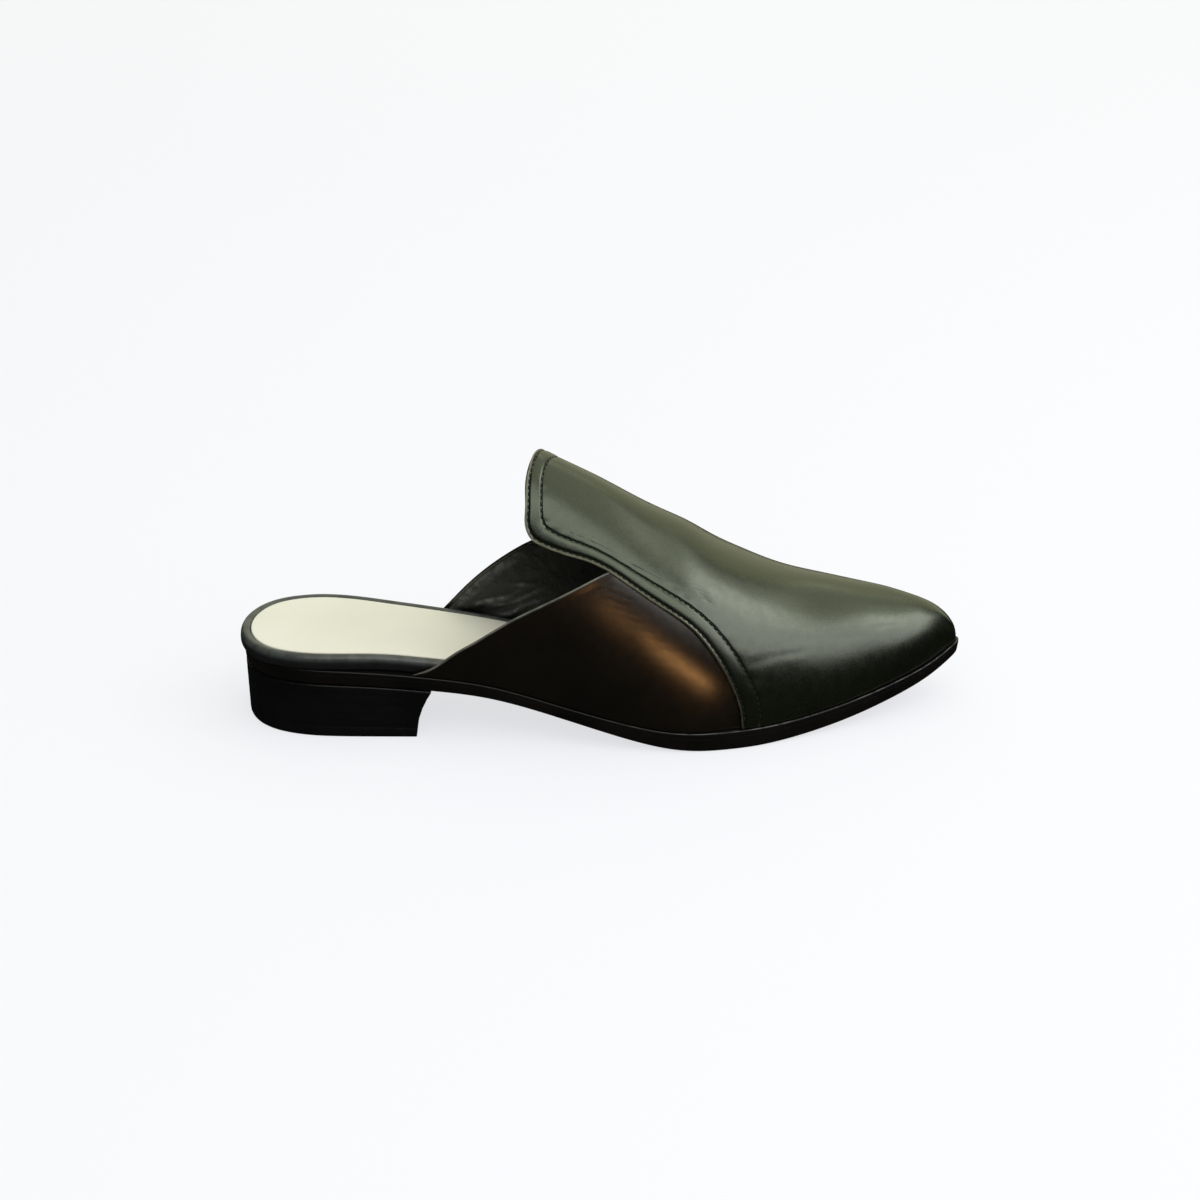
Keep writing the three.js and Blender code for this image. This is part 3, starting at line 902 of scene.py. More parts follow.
def creases(table: Rows, along: Array, across: Array) -> Array:
    """Soft troughs and ridges at listed places.

    Each row is a straight crease: its middle, its direction and its half length, width and depth. Across
    the crease it is a trough with a low ridge on either side, and it fades toward both ends.

    Args:
        table: rows of along, across, angle in degrees, half length, width, depth, all in millimetres.
        along: distance from the back of the heel.
        across: distance from the ridge, round the girth, negative on the outer side.

    Returns:
        Height of the creases, in millimetres.
    """
    height = np.zeros(np.broadcast(along, across).shape)
    for middle, side, angle, half, width, depth in table:
        turn = math.radians(angle)
        forward = (along - middle) * math.cos(turn) + (across - side) * math.sin(turn)
        aside = (across - side) * math.cos(turn) - (along - middle) * math.sin(turn)
        trough = RIDGE_SHARE * bell(aside, width * RIDGE_REACH) - bell(aside, width)
        height += depth * trough * bell(forward, half)
    return height


@dataclass
class StitchRow:
    """A row of thread stitches along a line on a panel. Pitch, length and radius in millimetres.

    A stitch arches up by its arch and starts sunk by its sink, both in radii. Its thickness is the radius
    times a sine, or the thin end where that is more, to the power of the taper.
    """

    pitch: float = 2.3
    length: float = 2.0
    radius: float = 0.2
    rings: int = 9
    sides: int = 8
    arch: float = 1.5
    sink: float = 0.9
    thin_end: float = 0.02
    taper: float = 0.35

    def patches(self, points: Array, outward: Array) -> list[Patch]:
        """Beads from hole to hole: a tube whose middle rises as a sine and whose ends sink and narrow.

        Args:
            points: the line, in millimetres.
            outward: the direction off the panel at each point.

        Returns:
            One closed tube for each stitch.
        """
        run = lengths(points)
        count = int((run[-1] - 2 * self.pitch) / self.pitch)
        centres = self.pitch * (np.arange(count) + 1.5)
        share = np.linspace(0, 1, self.rings)
        at = centres[:, None] + (share[None, :] - 0.5) * self.length
        path = np.stack([np.interp(at, run, points[:, axis]) for axis in range(3)], -1)
        up = unit(np.stack([np.interp(at, run, outward[:, axis]) for axis in range(3)], -1))
        ahead = unit(np.gradient(path, axis=1))
        beside = unit(np.cross(up, ahead))
        rise = self.radius * (self.arch * np.sin(math.pi * share) - self.sink)
        thick = self.radius * np.maximum(np.sin(math.pi * share), self.thin_end) ** self.taper
        turn = np.linspace(0, 2 * math.pi, self.sides + 1)
        ring = (np.cos(turn)[:, None] * beside[..., None, :] + np.sin(turn)[:, None] * up[..., None, :])
        beads = (path + up * rise[None, :, None])[:, :, None] + ring * thick[None, :, None, None]
        beads[:, (0, -1)] = beads[:, (0, -1)].mean(2, keepdims=True)
        return [Patch(bead) for bead in beads]


@dataclass
class Upper:
    """The shell of the shoe: quarters, lining and the vamp with its stitching.

    Sizes are millimetres. A pair is where a change begins and ends: measured from the panel's edge, or for
    the lighter edges along the last as a share of its length.
    """

    last: Last

    # Stitch rows: distance of each from the vamp's edge, width of its trough, and the depth of both.
    outer_row: float = 1.15
    inner_row: float = 5.9
    outer_width: float = 0.42
    inner_width: float = 0.4
    row_depth: float = 0.3

    # Pillow between the rows: height, and how far it rises and falls beside them.
    pillow_height: float = 0.15
    pillow_rise: float = 1.2
    pillow_fall: float = 1.6

    # Puckers beside the inner row: height, place and width, then length, drift and the drift's own length.
    pucker_height: float = 0.05
    pucker_beside: float = 1
    pucker_width: float = 1.6
    pucker_length: float = 0.95
    pucker_drift: float = 1.5
    pucker_turn: float = 7

    # Unevenness of worked leather: height, how far from the row it is full, and where on the quarters.
    wave_height: float = 0.05
    waves_grow: float = 12
    quarter_waves: tuple[float, float] = (2, 12)

    # Crossed sines of that unevenness. Columns: length along, length across, phase.
    wave_sines: Rows = ((6.1, 9.3, 0), (11.7, -5.9, 1.3), (4.3, 17, 2.1))

    # Folded edge of the quarters and rolled edge of the lining.
    fold_height: float = 0.08
    fold_range: tuple[float, float] = (0.6, 3.2)
    roll_height: float = 0.4
    roll_range: tuple[float, float] = (0, 2.6)

    # Loose ripples of the lining: height, length, slant, drift and the drift's own length.
    loose_height: float = 0.12
    loose_length: float = 2.9
    loose_slant: float = 1.4
    loose_drift: float = 1.5
    loose_turn: float = 8

    # Where they lie: girth, distance from the edge, and how far forward they end and over what length.
    loose_girth: tuple[float, float] = (0.7, 0.85)
    loose_range: tuple[float, float] = (1, 5)
    loose_end: float = 130
    loose_fade: float = 30
    lining_crease_range: tuple[float, float] = (0.5, 3)

    # Depth of a wrinkle whose top gets the full painted highlight.
    full_highlight_depth: float = 0.42

    # Lighter edges, part rubbing and painted sheen: how much the vamp's wings lose, and how much the lining
    # has.
    wing_loss: float = 0.7
    wing_range: tuple[float, float] = (0.52, 0.62)
    lining_share: float = 0.42
    lining_range: tuple[float, float] = (0.36, 0.4)

    # Quarters: their edge inside the tongue's edge, and their wall.
    quarter_under: float = 0.6
    quarter_wall: float = 0.85

    # Lining: its edge inside the tongue's and the quarter's edge, and its outer face below the quarters'.
    lining_under: float = 0.2
    lining_behind: float = 0.9
    lining_below: float = 0.95

    # Points of the splined edges.
    tongue_points: int = 1200
    edge_points: int = 2400

    # Creases of the vamp. Columns: along, across, angle, half length, width, depth.
    vamp_creases: Rows = (
        (165.4, -37.8, -51, 3.4, 0.95, 0.26), (176, -33, -30, 6, 2.6, 0.1), (204.6, -50, 8, 5, 2.2, 0.1),
        (197.2, -57, 14, 6, 2.0, 0.12), (219, -50, 4, 6, 2.4, 0.1), (186, -61, 30, 6, 2.2, 0.12),
        (232, -44, 16, 6, 2.6, 0.08),
    )

    # Creases of the outer quarter. Columns as above.
    quarter_creases: Rows = (
        (133.8, -51, -46, 2.8, 0.5, 0.4), (138, -56, -60, 5, 1.4, 0.12), (150, -62, -75, 9, 2.4, 0.14),
        (118, -75, -30, 12, 3, 0.12),
    )

    # Wrinkles of the lining, the same on both sides. Columns as above.
    lining_creases: Rows = (
        (87.5, 82.9, -16, 5.2, 0.95, 0.75), (95.3, 80.6, -16, 3.8, 0.9, 0.7),
        (91.7, 83.2, -15, 4.6, 0.75, 0.6), (98.8, 80.8, -24, 3.6, 0.8, 0.65),
        (100.5, 76.5, -12, 4.2, 0.9, 0.5), (99.2, 78.4, -17, 3.6, 0.8, 0.5),
        (98.6, 83.1, -31, 3.3, 0.8, 0.6), (104.1, 80.4, -21, 3.6, 0.8, 0.55),
        (103.6, 78.3, -26, 4.4, 0.8, 0.45), (95, 84.4, -18, 3.5, 0.8, 0.5),
        (88.7, 85.6, -9, 3.6, 0.8, 0.4), (82, 82, -33, 4, 1.6, 0.4),
    )

    # How the stitch rows spread from the edge. Columns: along, share at the margin.
    spread_rows: Rows = (
        (0.39, -0.1), (0.41, -0.06), (0.44, 0.0), (0.5, -0.24), (0.56, -0.02), (0.63, 0.14), (0.7, 0.36),
    )

    # Corner of the tongue: along, girth, and how much wider the rows lie there over what reach.
    corner: tuple[float, float] = (0.405, 0.523)
    corner_spread: float = 0.34
    corner_reach: float = 5.5

    @cached_property
    def shift(self) -> Array:
        """Move from the last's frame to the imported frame."""
        return self.last.place()

    @property
    def depth(self) -> float:
        """Depth of the quarters' outer face below the vamp's."""
        return self.last.vamp_wall + self.last.clearance

    def _waves(self, along: Array, across: Array) -> Array:
        """Slow unevenness of worked leather: three crossed sines."""
        return self.wave_height * sum(
            np.sin(along / ahead + across / aside + phase) for ahead, aside, phase in self.wave_sines)

    def _places(self, sweep: Array, girth: Array) -> tuple[Array, Array]:
        """Distance from the heel's back and from the ridge, in millimetres."""
        return self.last.length * along_of(sweep), self.last.half_girth * girth

    def vamp_relief(self, sweep: Array, girth: Array, away: Array, run: Array) -> Array:
        """Relief of the vamp: sunk stitch rows, a pillow between them, puckers, waves and creases.

        Args:
            sweep: sweeps of the places.
            girth: girths of the places.
            away: distance of each place from the panel's edge, in millimetres.
            run: running length of each column along that edge, in millimetres.

        Returns:
            Height above the plain face, in millimetres.
        """
        along, across = self._places(sweep, girth)
        rows = (self.row_depth * bell(away - self.outer_row, self.outer_width)
                + self.row_depth * bell(away - self.inner_row, self.inner_width))
        rising = ease(away, self.outer_row, self.outer_row + self.pillow_rise)
        falling = ease(away, self.inner_row - self.pillow_fall, self.inner_row)
        pillow = self.pillow_height * (rising * (1 - falling))
        drift = self.pucker_drift * np.sin(run / self.pucker_turn)
        beside = bell(away - self.inner_row - self.pucker_beside, self.pucker_width)
        pucker = self.pucker_height * np.sin(run / self.pucker_length + drift) * beside
        waves = ease(away, self.inner_row, self.inner_row + self.waves_grow) * self._waves(along, across)
        return pillow - rows + pucker + waves + creases(self.vamp_creases, along, across)

    def quarter_relief(self, sweep: Array, girth: Array, away: Array, run: Array) -> Array:
        """Relief of the quarters: a folded edge, waves and creases.

        Args:
            sweep: sweeps of the places.
            girth: girths of the places.
            away: distance of each place from the panel's edge, in millimetres.
            run: running length of each column along that edge, in millimetres.

        Returns:
            Height above the plain face, in millimetres.
        """
        along, across = self._places(sweep, girth)
        fold = self.fold_height * (1 - ease(away, *self.fold_range))
        waves = ease(away, *self.quarter_waves) * self._waves(along, across)
        return fold + waves + creases(self.quarter_creases, along, across)

    def lining_relief(self, sweep: Array, girth: Array, away: Array, run: Array) -> Array:
        """Relief of the lining: a rolled edge and loose wrinkles low on both quarters.

        Args:
            sweep: sweeps of the places.
            girth: girths of the places.
            away: distance of each place from the panel's edge, in millimetres.
            run: running length of each column along that edge, in millimetres.

        Returns:
            Height above the plain face, in millimetres.
        """
        along, across = self._places(sweep, girth)
        roll = self.roll_height * (1 - ease(away, *self.roll_range))
        drift = self.loose_drift * np.sin(along / self.loose_turn)
        ripple = np.sin(along / self.loose_length + np.abs(across) / self.loose_slant + drift)
        inside = ease(np.abs(girth), *self.loose_girth) * ease(away, *self.loose_range)
        low = inside * ease(self.loose_end - along, 0, self.loose_fade)
        wrinkles = creases(self.lining_creases, along, np.abs(across))
        return roll + low * (self.loose_height * ripple) + wrinkles * ease(away, *self.lining_crease_range)

    def lining_crest_highlight(self, sweep: Array, girth: Array) -> Array:
        """How far the tops of the lining's wrinkles get a painted highlight."""
        along, across = self._places(sweep, girth)
        return np.clip(-creases(self.lining_creases, along, np.abs(across)) / self.full_highlight_depth, 0, 1)

    def vamp_rub_and_sheen(self, line: Array) -> Array:
        """Vamp edge, raw tan with a painted highlight: lightest round the tongue, dark down the wings."""
        return 1 - self.wing_loss * ease(line[:, 0], *self.wing_range)

    def lining_sheen(self, line: Array) -> Array:
        """The lining has a little painted sheen at its edge, and none under the tongue."""
        return self.lining_share * (1 - ease(line[:, 0], *self.lining_range))

    def row_spread(self, line: Array) -> Array:
        """How much wider the rows lie at the margin: least at the notch, most at corner and feather.

        Args:
            line: along and girth of the places on the vamp's edge.

        Returns:
            Share by which a distance equal to the margin grows at each place.
        """
        scale = (self.last.length, self.last.half_girth)
        outer = np.linalg.norm((line * (1, -1) - self.corner) * scale, axis=-1)
        inner = np.linalg.norm((line - self.corner) * scale, axis=-1)
        share = Spline(column(self.spread_rows, 0), column(self.spread_rows, 1))(line[:, 0])
        return share + self.corner_spread * bell(np.minimum(outer, inner), self.corner_reach)

    def tongue_line(self, distance: float) -> Array:
        """Edge round the tongue, moved in by a distance."""
        rows = over_ridge(LATERAL_TONGUE, MEDIAL_TONGUE)
        return moved_in(self.last, smooth_line(self.last, rows, self.tongue_points), distance)

    def shell_edge(self, tongue_in: float, quarter_in: float) -> Array:
        """Quarter edge, tongue and quarter edge, each moved in by its distance.

        Args:
            tongue_in: distance inward along the tongue, in millimetres.
            quarter_in: distance inward along both quarters, in millimetres.

        Returns:
            Along and girth of the edge's points, from the outer feather to the inner one.
        """
        tongue = self.tongue_line(tongue_in)
        lateral = smooth_line(self.last, np.concatenate([signed(LATERAL_QUARTER, -1), tongue[:1]]))
        medial = smooth_line(self.last, np.concatenate([signed(MEDIAL_QUARTER, 1), tongue[-1:]])[::-1])
        if quarter_in:
            lateral = moved_in(self.last, lateral, quarter_in)
            medial = moved_in(self.last, medial, quarter_in)
        return np.clip(np.concatenate([lateral[:-1], tongue, medial[1:]]), (0, -1), (1, 1))

    def vamp(self) -> Panel:
        """The overlay with the raised tongue.

        Returns:
            The panel.
        """
        rows = over_ridge((*LATERAL_TONGUE, *WING_EDGE), (*MEDIAL_TONGUE, *WING_EDGE))
        edge = np.clip(smooth_line(self.last, rows, self.edge_points), (0, -1), (1, 1))
        return Panel(
            self.last, "vamp_leather", edge, 0, self.last.vamp_wall, self.vamp_relief,
            near_rows=(self.outer_row, self.inner_row), spread=self.row_spread, rub_and_sheen=self.vamp_rub_and_sheen)

    def quarters(self) -> Panel:
        """The black leather under the vamp, folded at its rear edge.

        Returns:
            The panel.
        """
        return Panel(
            self.last, "quarters", self.shell_edge(self.quarter_under, 0), self.depth,
            self.depth + self.quarter_wall, self.quarter_relief, columns=340, far_rows=56, lip=0.4, margin=5)

    def lining(self) -> Panel:
        """The lining, laid inside the quarters.

        Returns:
            The panel.
        """
        return Panel(
            self.last, "lining", self.shell_edge(self.lining_under, self.lining_behind),
            self.depth + self.lining_below, self.depth + self.last.upper_wall, self.lining_relief,
            columns=320, far_rows=116, crowding=1.8, lip=0.2, edge_band=(0.6, 4.4), margin=5,
            backed=True, rub_and_sheen=self.lining_sheen, crest_highlight=self.lining_crest_highlight)

    def build(self) -> list[bpy.types.Object]:
        """Makes the three panels and both stitch rows.

        Returns:
            The five pieces.
        """
        vamp = self.vamp()
        made = (
            (self.quarters(), QUARTER_LEATHER, "quarter_leather", "upper"),
            (self.lining(), LINING_LEATHER, "quarter_leather", "upper"),
            (vamp, VAMP_LEATHER, "vamp_leather", "vamp"),
        )
        pieces = []
        for panel, finish, slot, node in made:
            piece = make_mesh(panel.name, panel.patches(), self.shift)
            pieces.append(dress(piece, finish, slot, node))
        for name, distance in (("edge_stitches", self.outer_row), ("inner_stitches", self.inner_row)):
            piece = make_mesh(name, StitchRow().patches(*vamp.row(distance)), self.shift)
            pieces.append(dress(piece, THREAD, "vamp_leather"))
        return pieces


def dress(piece: bpy.types.Object, finish: LeatherFinish, slot: str, *nodes: str) -> bpy.types.Object:
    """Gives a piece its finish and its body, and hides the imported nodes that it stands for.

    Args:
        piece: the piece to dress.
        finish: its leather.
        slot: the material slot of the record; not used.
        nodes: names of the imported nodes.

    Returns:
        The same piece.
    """
    material = bpy.data.materials.get(finish.name) or finish.make()
    piece.data.materials.append(material)
    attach(piece, "root")
    if nodes:
        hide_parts(*nodes)
    return piece


@dataclass
class Stack:
    """A solid made of rings of the outline, from the lowest level to the highest.

    Each level gives the points of one side for shares from 0 at the back to 1 in front. Its mark says how
    light the ring is, and lit gives the shares of the length between which the marks come in.
    """

    last: Last
    levels: list[Level]
    marks: list[float]
    stations: int = 150
    pointed: bool = True
    cap_rows: int = 14
    lit: tuple[float, float] = (-1, 0)

    def patches(self) -> list[Patch]:
        """Both side walls, the caps below and above, and the front wall where the outline isn't pointed.

        Returns:
            Grids that close the solid.
        """
        share = np.linspace(0, 1, self.stations + 1)
        sides = {side: np.stack([level(share, side) for level in self.levels]) for side in Side}
        lateral, medial = sides[Side.LATERAL], sides[Side.MEDIAL]
        medial[:, 0] = lateral[:, 0]
        if self.pointed:
            medial[:, -1] = lateral[:, -1]
        mark = np.array(self.marks)[:, None] * ease(lateral[..., 0] / self.last.length, *self.lit)
        across = (0.5 - 0.5 * np.cos(np.linspace(0, math.pi, self.cap_rows + 1)))[:, None, None]
        made = [Patch(lateral, mark), Patch(medial, mark)]
        for level in (0, -1):
            made.append(Patch(mix(lateral[level], medial[level], across)))
        if not self.pointed:
            made.append(Patch(mix(lateral[:, -1], medial[:, -1], across), self.marks))
        return made


@dataclass
class Bottom:
    """Outsole, heel, padded insole and sock.

    Sizes are millimetres. A pair is where along the last a change begins and ends, as shares of its length.
    """

    last: Last

    # Sole edge set in under the rim at the back of the heel.
    seat_tuck: float = 1.3
    tuck_range: tuple[float, float] = (0.01, 0.12)

    # Insole: clear of the lining, stepped in where the quarters begin, and narrower under the toes.
    lining_clearance: float = 0.7
    rim_steps_in: tuple[float, float] = (0.09, 0.225)
    crown: tuple[float, float] = (0.75, 0.95)
    crown_inset: float = 1.2
    board_height: float = 5.2
    rim_width: float = 3.7

    # Sock: its top below the rim's, its thickness and its gap to the rim.
    sock_sink: float = 0.2
    sock_thickness: float = 1.0
    sock_gap: float = 0.1

    # Heel: set in from the sole, tapered to the floor at the back and at the breast, and the breast's place.
    heel_inset: float = 0.4
    heel_taper: float = 0.8
    breast_taper: float = 0.5
    breast_top: float = 69.9
    breast_floor: float = 64.4

    # Where the painted highlight along the sole's top edge begins.
    lit_range: tuple[float, float] = (0.42, 0.72)

    # Painted highlight on the rim: heights between which its outer half gets it, where the inner half begins,
    # and how much of it the recess gets.
    rim_lit: tuple[float, float] = (0.45, 0.9)
    rim_middle: float = 0.5
    recess_mark: float = 0.6

    # Steps in the search for the place where two sides meet, and the sharp angle of the solids.
    meeting_steps: int = 20000
    sharp: float = 60

    # Side of the sole. Columns: inset and rise, shares of its thickness, and its share of painted highlight.
    sole_edge: Rows = (
        (0.25, 0, 0), (0.16, 0.012, 0), (0.105, 0.06, 0), (0.08, 0.15, 0), (0.055, 0.3, 0), (0.03, 0.5, 0),
        (0.01, 0.66, 0), (0.011, 0.69, 0), (0.02, 0.705, 0), (0.02, 0.72, 0), (0.008, 0.735, 0), (0, 0.77, 0),
        (0, 0.88, 0), (0.005, 0.945, 0), (0.018, 0.978, 0), (0.04, 0.995, 1), (0.075, 1, 0),
    )

    # Rolled rim. Columns: across, share of the rim's width, and up, share of the board's height.
    rim_section: Rows = (
        (0.13, 0), (0.06, 0.1), (0.01, 0.22), (0, 0.36), (0.006, 0.5), (0.03, 0.65), (0.08, 0.78),
        (0.17, 0.89), (0.29, 0.96), (0.42, 0.995), (0.55, 1), (0.68, 0.99), (0.8, 0.965), (0.9, 0.92),
        (0.97, 0.84), (1, 0.74),
    )

    # Edge of the sock. Columns: across and up, shares of its thickness, and how much darker it is.
    sock_section: Rows = ((0, 0, 0.6), (0, 0.5, 0.5), (0.06, 0.78, 0.3), (0.22, 0.94, 0.1), (0.5, 1, 0))

    # Foot and top of the heel. Columns: rise as a share, inset and mark.
    heel_foot: Rows = ((0, 0.5, 0), (0.01, 0.22, 0.3), (0.03, 0.06, 0.3), (0.06, 0, 0))
    heel_top: Rows = ((0.97, 0, 0), (0.99, 0.08, 0.2), (1, 0.3, 0))

    # Joints between the heel's lifts. Columns: rise as a share and depth.
    heel_joints: Rows = ((0.2, 0.16), (0.42, 0.05), (0.63, 0.05), (0.84, 0.05))

    # Groove of a joint. Columns: rise from its middle and share of its depth.
    joint_section: Rows = ((-0.02, 0), (-0.008, 0.6), (0, 1), (0.008, 0.6), (0.02, 0))

    @cached_property
    def shift(self) -> Array:
        """Move from the last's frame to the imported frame."""
        return self.last.place()

    def seat_inset(self, along: Array) -> Array:
        """Sole edge under the rim, set in round the back of the heel."""
        return self.seat_tuck * (1 - ease(along, *self.tuck_range))

    def insole_inset(self, along: Array) -> Array:
        """Insole edge inside the sole edge: flush at the heel, clear of the lining further on.

        Args:
            along: shares of the length, from 0 at the back to 1 at the tip.

        Returns:
            Distances in millimetres.
        """
        walls = (self.last.shelf(along) + self.last.vamp_wall + self.last.clearance
                 + self.last.upper_wall + self.lining_clearance)
        return walls * ease(along, *self.rim_steps_in) + self.crown_inset * ease(along, *self.crown)

    def meeting(self, inset: Callable[[Array], Array]) -> float:
        """Sweep where the two inset sides meet in front: the first at which no width is left between them.

        Args:
            inset: distance inward for shares of the length.

        Returns:
            The sweep, or pi where the sides don't meet before the tip.
        """
        sweep = np.linspace(math.pi / 2, math.pi - STEP, self.meeting_steps)
        depth = inset(along_of(sweep))
        width = (self.last.inset_point(sweep, Side.MEDIAL, depth)
                 - self.last.inset_point(sweep, Side.LATERAL, depth))[:, 1]
        crossed = np.flatnonzero(width <= 0)
        return float(sweep[crossed[0]]) if len(crossed) else math.pi

    def ring(self, inset: Callable[[Array], Array], height: Callable[[Array], Array]) -> Level:
        """Ring of the whole outline: inset and height both follow the length.

        Args:
            inset: distance inward for shares of the length.
            height: height above the floor for shares of the length.

        Returns:
            The ring, as points for shares along one side.
        """
        end = self.meeting(inset)

        def level(share: Array, side: Side) -> Array:
            """Points of one side of the ring.

            Args:
                share: shares along the side, from 0 at the back to 1 in front.
                side: which side of the outline.

            Returns:
                Points in millimetres.
            """
            sweep = share * end
            depth = inset(along_of(sweep))
            spot = self.last.inset_point(sweep, side, depth)
            other = self.last.inset_point(sweep[-1:], Side.MEDIAL, depth[-1:])
            spot[-1] = (spot[-1] + other[0]) / 2
            return np.concatenate([spot, height(spot[:, :1] / self.last.length)], -1)

        return level

    def inner_ring(self, inset: float, height: float) -> Level:
        """Ring of a piece that lies inside the shoe.

        Args:
            inset: distance in from the insole's edge, in millimetres.
            height: height above the feather line, in millimetres.

        Returns:
            The ring, as points for shares along one side.
        """
        return self.ring(
            lambda along: self.insole_inset(along) + inset,
            lambda along: self.last.feather(along) + height)

    def outsole(self) -> Stack:
        """Full-length sole with a rounded side, a fine groove and a painted highlight on its top edge.

        Returns:
            The solid.
        """
        last = self.last

        def level(inset: float, rise: float) -> Level:
            """One ring of the side.

            Args:
                inset: distance inward as a share of the sole's thickness.
                rise: height as a share of the thickness there.

            Returns:
                The ring, as points for shares along one side.
            """
            return self.ring(
                lambda along: self.seat_inset(along) + inset * last.sole_thickness,
                lambda along: last.sole_bottom(along)
                + rise * (last.feather(along) - last.clearance - last.sole_bottom(along)))

        levels = [level(inset, rise) for inset, rise, _ in self.sole_edge]
        return Stack(last, levels, [row[2] for row in self.sole_edge], lit=self.lit_range)

    def heel_levels(self) -> Rows:
        """Levels of the heel from the floor up, with a groove at each joint between two lifts.

        Returns:
            Rows of rise, inset and mark.
        """
        joints = [(middle + beside, share * depth, 0.0)
                  for middle, depth in self.heel_joints for beside, share in self.joint_section]
        return (*self.heel_foot, *joints, *self.heel_top)

    def heel(self) -> Stack:
        """Low stacked block whose breast leans and hollows with the square of the height.

        Returns:
            The solid.
        """
        last = self.last

        def level(rise: float, inset: float) -> Level:
            """One ring of the block.

            Args:
                rise: height as a share of the heel's height.
                inset: distance inward, in millimetres.

            Returns:
                The ring, as points for shares along one side.
            """
            breast = mix(self.breast_floor, self.breast_top, rise**2) - inset
            end = float(sweep_of(breast / last.length))

            def points(share: Array, side: Side) -> Array:
                """Points of one side of the ring.

                Args:
                    share: shares along the side, from 0 at the back to 1 in front.
                    side: which side of the outline.

                Returns:
                    Points in millimetres.
                """
                sweep = share * end
                taper = mix(self.heel_taper, self.breast_taper, share) * (1 - rise)
                depth = self.seat_inset(along_of(sweep)) + self.heel_inset + taper + inset
                spot = last.inset_point(sweep, side, depth)
                spot[:, 0] = np.minimum(spot[:, 0], breast)
                height = rise * (last.sole_bottom(spot[:, :1] / last.length) - last.clearance)
                return np.concatenate([spot, height], -1)

            return points

        rows = self.heel_levels()
        levels = [level(rise, inset) for rise, inset, _ in rows]
        return Stack(last, levels, [row[2] for row in rows], pointed=False)

    def insole(self) -> Stack:
        """Padded insole: a rolled rim round a shallow recess.

        Returns:
            The solid.
        """
        recess = self.board_height - self.sock_sink - self.sock_thickness - self.last.clearance
        rings = [
            self.inner_ring(across * self.rim_width, up * self.board_height)
            for across, up in self.rim_section]
        rings.append(self.inner_ring(self.rim_width, recess))
        # Painted highlight: rising up the rim's outer half, full on its inner half, partial on the recess.
        marks = [
            float(ease(up, *self.rim_lit)) if across < self.rim_middle else 1.0
            for across, up in self.rim_section]
        return Stack(self.last, rings, [*marks, self.recess_mark])

    def sock(self) -> Stack:
        """Cream sock laid in the recess.

        Returns:
            The solid.
        """
        thick = self.sock_thickness
        underside = self.board_height - self.sock_sink - thick
        rings = [
            self.inner_ring(self.rim_width + self.sock_gap + across * thick, underside + up * thick)
            for across, up, _ in self.sock_section]
        return Stack(self.last, rings, [row[2] for row in self.sock_section])

    def build(self) -> list[bpy.types.Object]:
        """Makes sole, heel, insole and sock.

        Returns:
            The four pieces.
        """
        made = (
            ("outsole_leather", self.outsole(), SOLE_LEATHER, "sole_leather", "outsole"),
            ("heel_block", self.heel(), HEEL_LEATHER, "heel_stack", "heel"),
            ("insole_rim", self.insole(), RIM_LEATHER, "rim_leather", "insole"),
            ("sock_lining", self.sock(), SOCK_LEATHER, "sock_leather", "sock"),
        )
        return [
            dress(make_mesh(name, stack.patches(), self.shift, self.sharp), finish, slot, node)
            for name, stack, finish, slot, node in made]


@dataclass(frozen=True)
class SoftBox:
    """A soft light aimed at the shoe. Angles in degrees, sizes in metres.

    Elevation runs from 0 in front of the shoe over 90 above it to 180 behind it. Lean tips it from there
    toward the toe, and roll turns it about its own beam.
    """

    name: str
    elevation: float
    lean: float
    distance: float
    width: float
    height: float
    radiance: float
    color: Color = (1, 1, 1)
    roll: float = 0
    gloss_only: bool = False

    def make(self) -> None:
        """Adds the light. Its power is pi times its area times its radiance."""
        light = bpy.data.lights.new(self.name, "AREA")
        light.shape = "RECTANGLE"
        light.size = self.width
        light.size_y = self.height
        light.energy = math.pi * self.width * self.height * self.radiance
        light.color = self.color
        lamp = bpy.data.objects.new(self.name, light)
        lift, lean = math.radians(self.elevation), math.radians(self.lean)
        away = Vector((math.sin(lean), -math.cos(lean) * math.cos(lift), math.cos(lean) * math.sin(lift)))
        aim = away.to_track_quat("Z", "Y") @ Quaternion((0, 0, 1), math.radians(self.roll))
        lamp.location = away * self.distance
        lamp.rotation_euler = aim.to_euler()
        lamp.visible_camera = False
        lamp.visible_diffuse = not self.gloss_only
        bpy.context.scene.collection.objects.link(lamp)


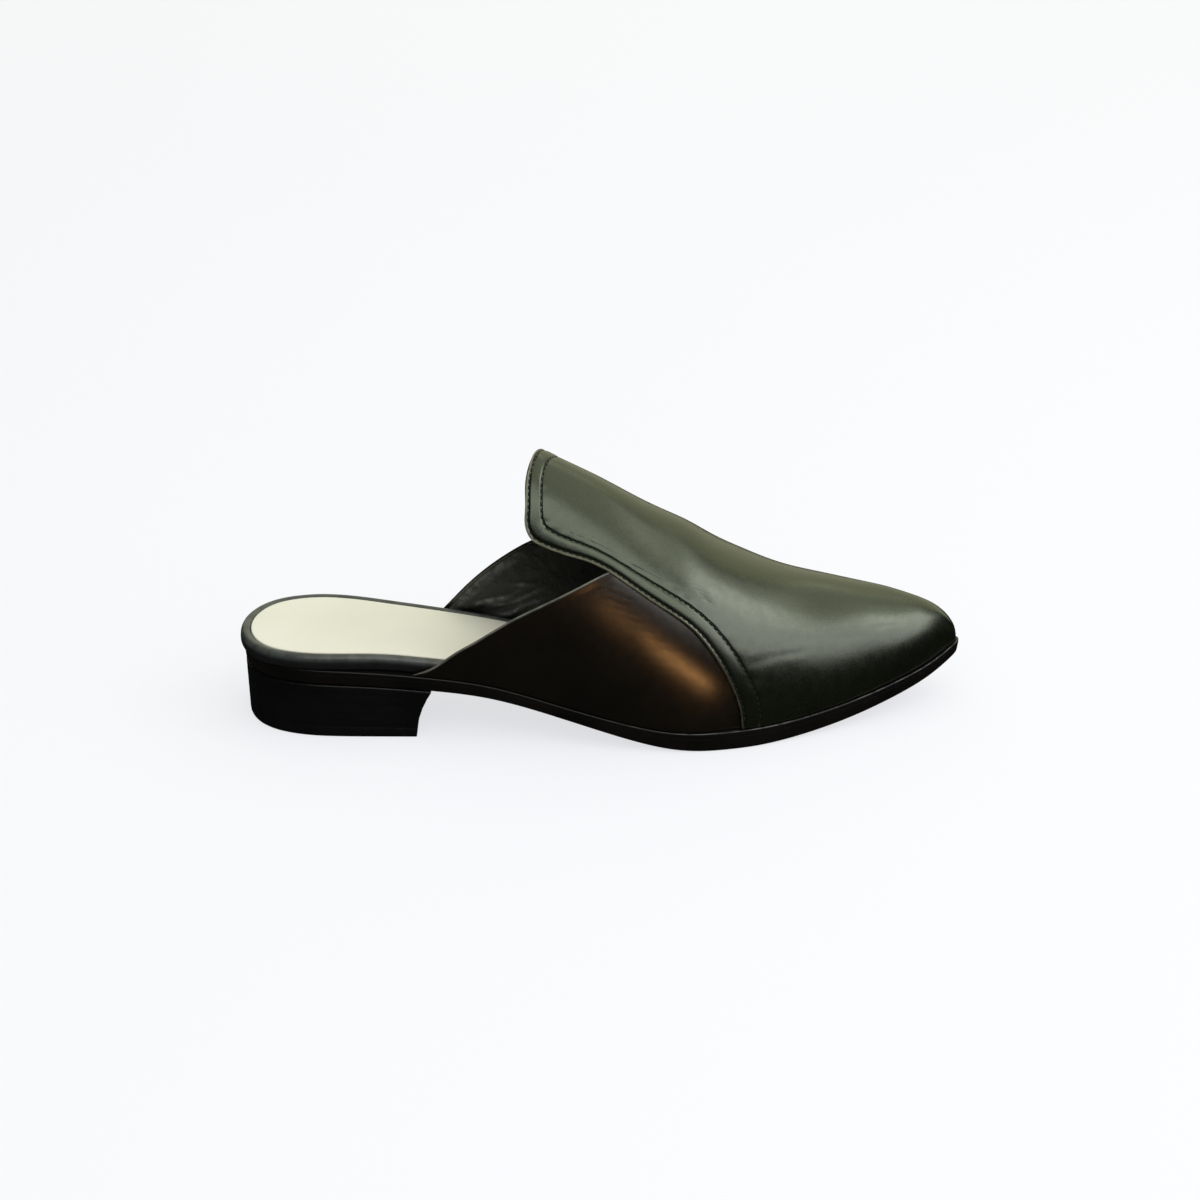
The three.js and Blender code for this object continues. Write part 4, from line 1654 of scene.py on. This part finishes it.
@dataclass
class Studio:
    """Pale floor, soft lights and the camera. Sizes in metres."""

    boxes: tuple[SoftBox, ...] = (
        SoftBox("key", 66, 52, 1.4, 1.2, 0.66, 2.55, (0.94, 0.9, 1.0), roll=10),
        SoftBox("key_top", 103, 55, 1.4, 0.9, 0.8, 0.7),
        SoftBox("front", 46, 7, 1.4, 1.45, 0.62, 2.0),
        SoftBox("top", 98, 12, 1.4, 1.9, 2.0, 0.85, (1.0, 1.0, 0.85)),
        SoftBox("back", 158, 8, 1.5, 2.6, 1.3, 0.7, (1.0, 1.0, 0.7)),
        SoftBox("warm_strip", 6.5, 15, 1.25, 0.7, 0.12, 8.0, (1.0, 0.5, 0.18), roll=-26, gloss_only=True),
    )

    # Camera: the point it looks at, its distance and its elevation in degrees, then lens and sensor width
    # in millimetres and the nearest distance that it sees.
    target: tuple[float, float, float] = (-0.0008, 0.01536, 0.035)
    distance: float = 1.15
    elevation: float = 23.0
    lens: float = 94.875
    sensor: float = 36.0
    nearest: float = 0.01

    # World: its colour for the eye, its colour for other rays, and its strength as fill and in the gloss.
    sky: Color = (0.94, 0.95, 0.96)
    dim_sky: Color = (0.95, 1.0, 0.95)
    fill: float = 0.55
    mirrored: float = 0.01

    # Floor: half its side, its level, its colour, and the colour and strength of the light it gives off.
    floor_half: float = 6.0
    floor_level: float = -0.0001
    floor_color: Color = (0.2, 0.2, 0.21)
    glow_color: Color = (0.965, 0.97, 1.0)
    glow_strength: float = 0.73

    def floor(self) -> None:
        """A large pale floor that the leather doesn't mirror."""
        mesh = bpy.data.meshes.new("studio_floor")
        half, level = self.floor_half, self.floor_level
        corners = [(-half, -half, level), (half, -half, level), (half, half, level), (-half, half, level)]
        mesh.from_pydata(corners, [], [(0, 1, 2, 3)])
        floor = bpy.data.objects.new("studio_floor", mesh)
        bpy.context.scene.collection.objects.link(floor)
        shader = Shader("pale_floor")
        shader.surface.inputs["Base Color"].default_value = (*self.floor_color, 1)
        shader.surface.inputs["Roughness"].default_value = 1.0
        shader.surface.inputs["Specular IOR Level"].default_value = 0.0
        shader.surface.inputs["Emission Color"].default_value = (*self.glow_color, 1)
        shader.surface.inputs["Emission Strength"].default_value = self.glow_strength
        mesh.materials.append(shader.material)
        floor.visible_glossy = False

    def world(self) -> None:
        """White all round for the eye, dim for what the leather mirrors and for fill light."""
        world = bpy.data.worlds.new("studio")
        world.use_nodes = True
        tree = world.node_tree
        seen = tree.nodes["Background"]
        seen.inputs["Color"].default_value = (*self.sky, 1)
        ray = tree.nodes.new("ShaderNodeLightPath")
        shown = seen.outputs[0]
        for strength, kind in ((self.fill, "Is Diffuse Ray"), (self.mirrored, "Is Glossy Ray")):
            dim = tree.nodes.new("ShaderNodeBackground")
            dim.inputs["Color"].default_value = (*self.dim_sky, 1)
            dim.inputs["Strength"].default_value = strength
            either = tree.nodes.new("ShaderNodeMixShader")
            tree.links.new(ray.outputs[kind], either.inputs["Fac"])
            tree.links.new(shown, either.inputs[1])
            tree.links.new(dim.outputs[0], either.inputs[2])
            shown = either.outputs[0]
        tree.links.new(shown, tree.nodes["World Output"].inputs["Surface"])
        bpy.context.scene.world = world

    def camera(self) -> None:
        """The camera at the photograph's angle."""
        data = bpy.data.cameras.new("camera")
        data.lens = self.lens
        data.sensor_width = self.sensor
        data.clip_start = self.nearest
        camera = bpy.data.objects.new("camera", data)
        lift = math.radians(self.elevation)
        away = Vector((0, -math.cos(lift), math.sin(lift)))
        camera.location = Vector(self.target) + away * self.distance
        camera.rotation_euler = away.to_track_quat("Z", "Y").to_euler()
        bpy.context.scene.collection.objects.link(camera)
        bpy.context.scene.camera = camera

    def build(self) -> None:
        """Sets the stage."""
        self.camera()
        self.floor()
        self.world()
        for box in self.boxes:
            box.make()
        bpy.context.scene.view_settings.view_transform = "Standard"

    def keep_to(self, box: str, piece: str) -> None:
        """Lets one light reach one piece only.

        Args:
            box: name of the light.
            piece: name of the piece.
        """
        lit = bpy.data.collections.new(f"lit_by_{box}")
        lit.objects.link(bpy.data.objects[piece])
        bpy.data.objects[box].light_linking.receiver_collection = lit


def main() -> None:
    """Builds the studio, the bottom and the upper in order, and reports each piece."""
    logging.basicConfig(level=logging.INFO, format="%(message)s")
    last = Last()
    studio = Studio()
    studio.build()
    for piece in (*Bottom(last).build(), *Upper(last).build()):
        report(piece)
    studio.keep_to("warm_strip", "quarters")


if __name__ == "__main__":
    main()
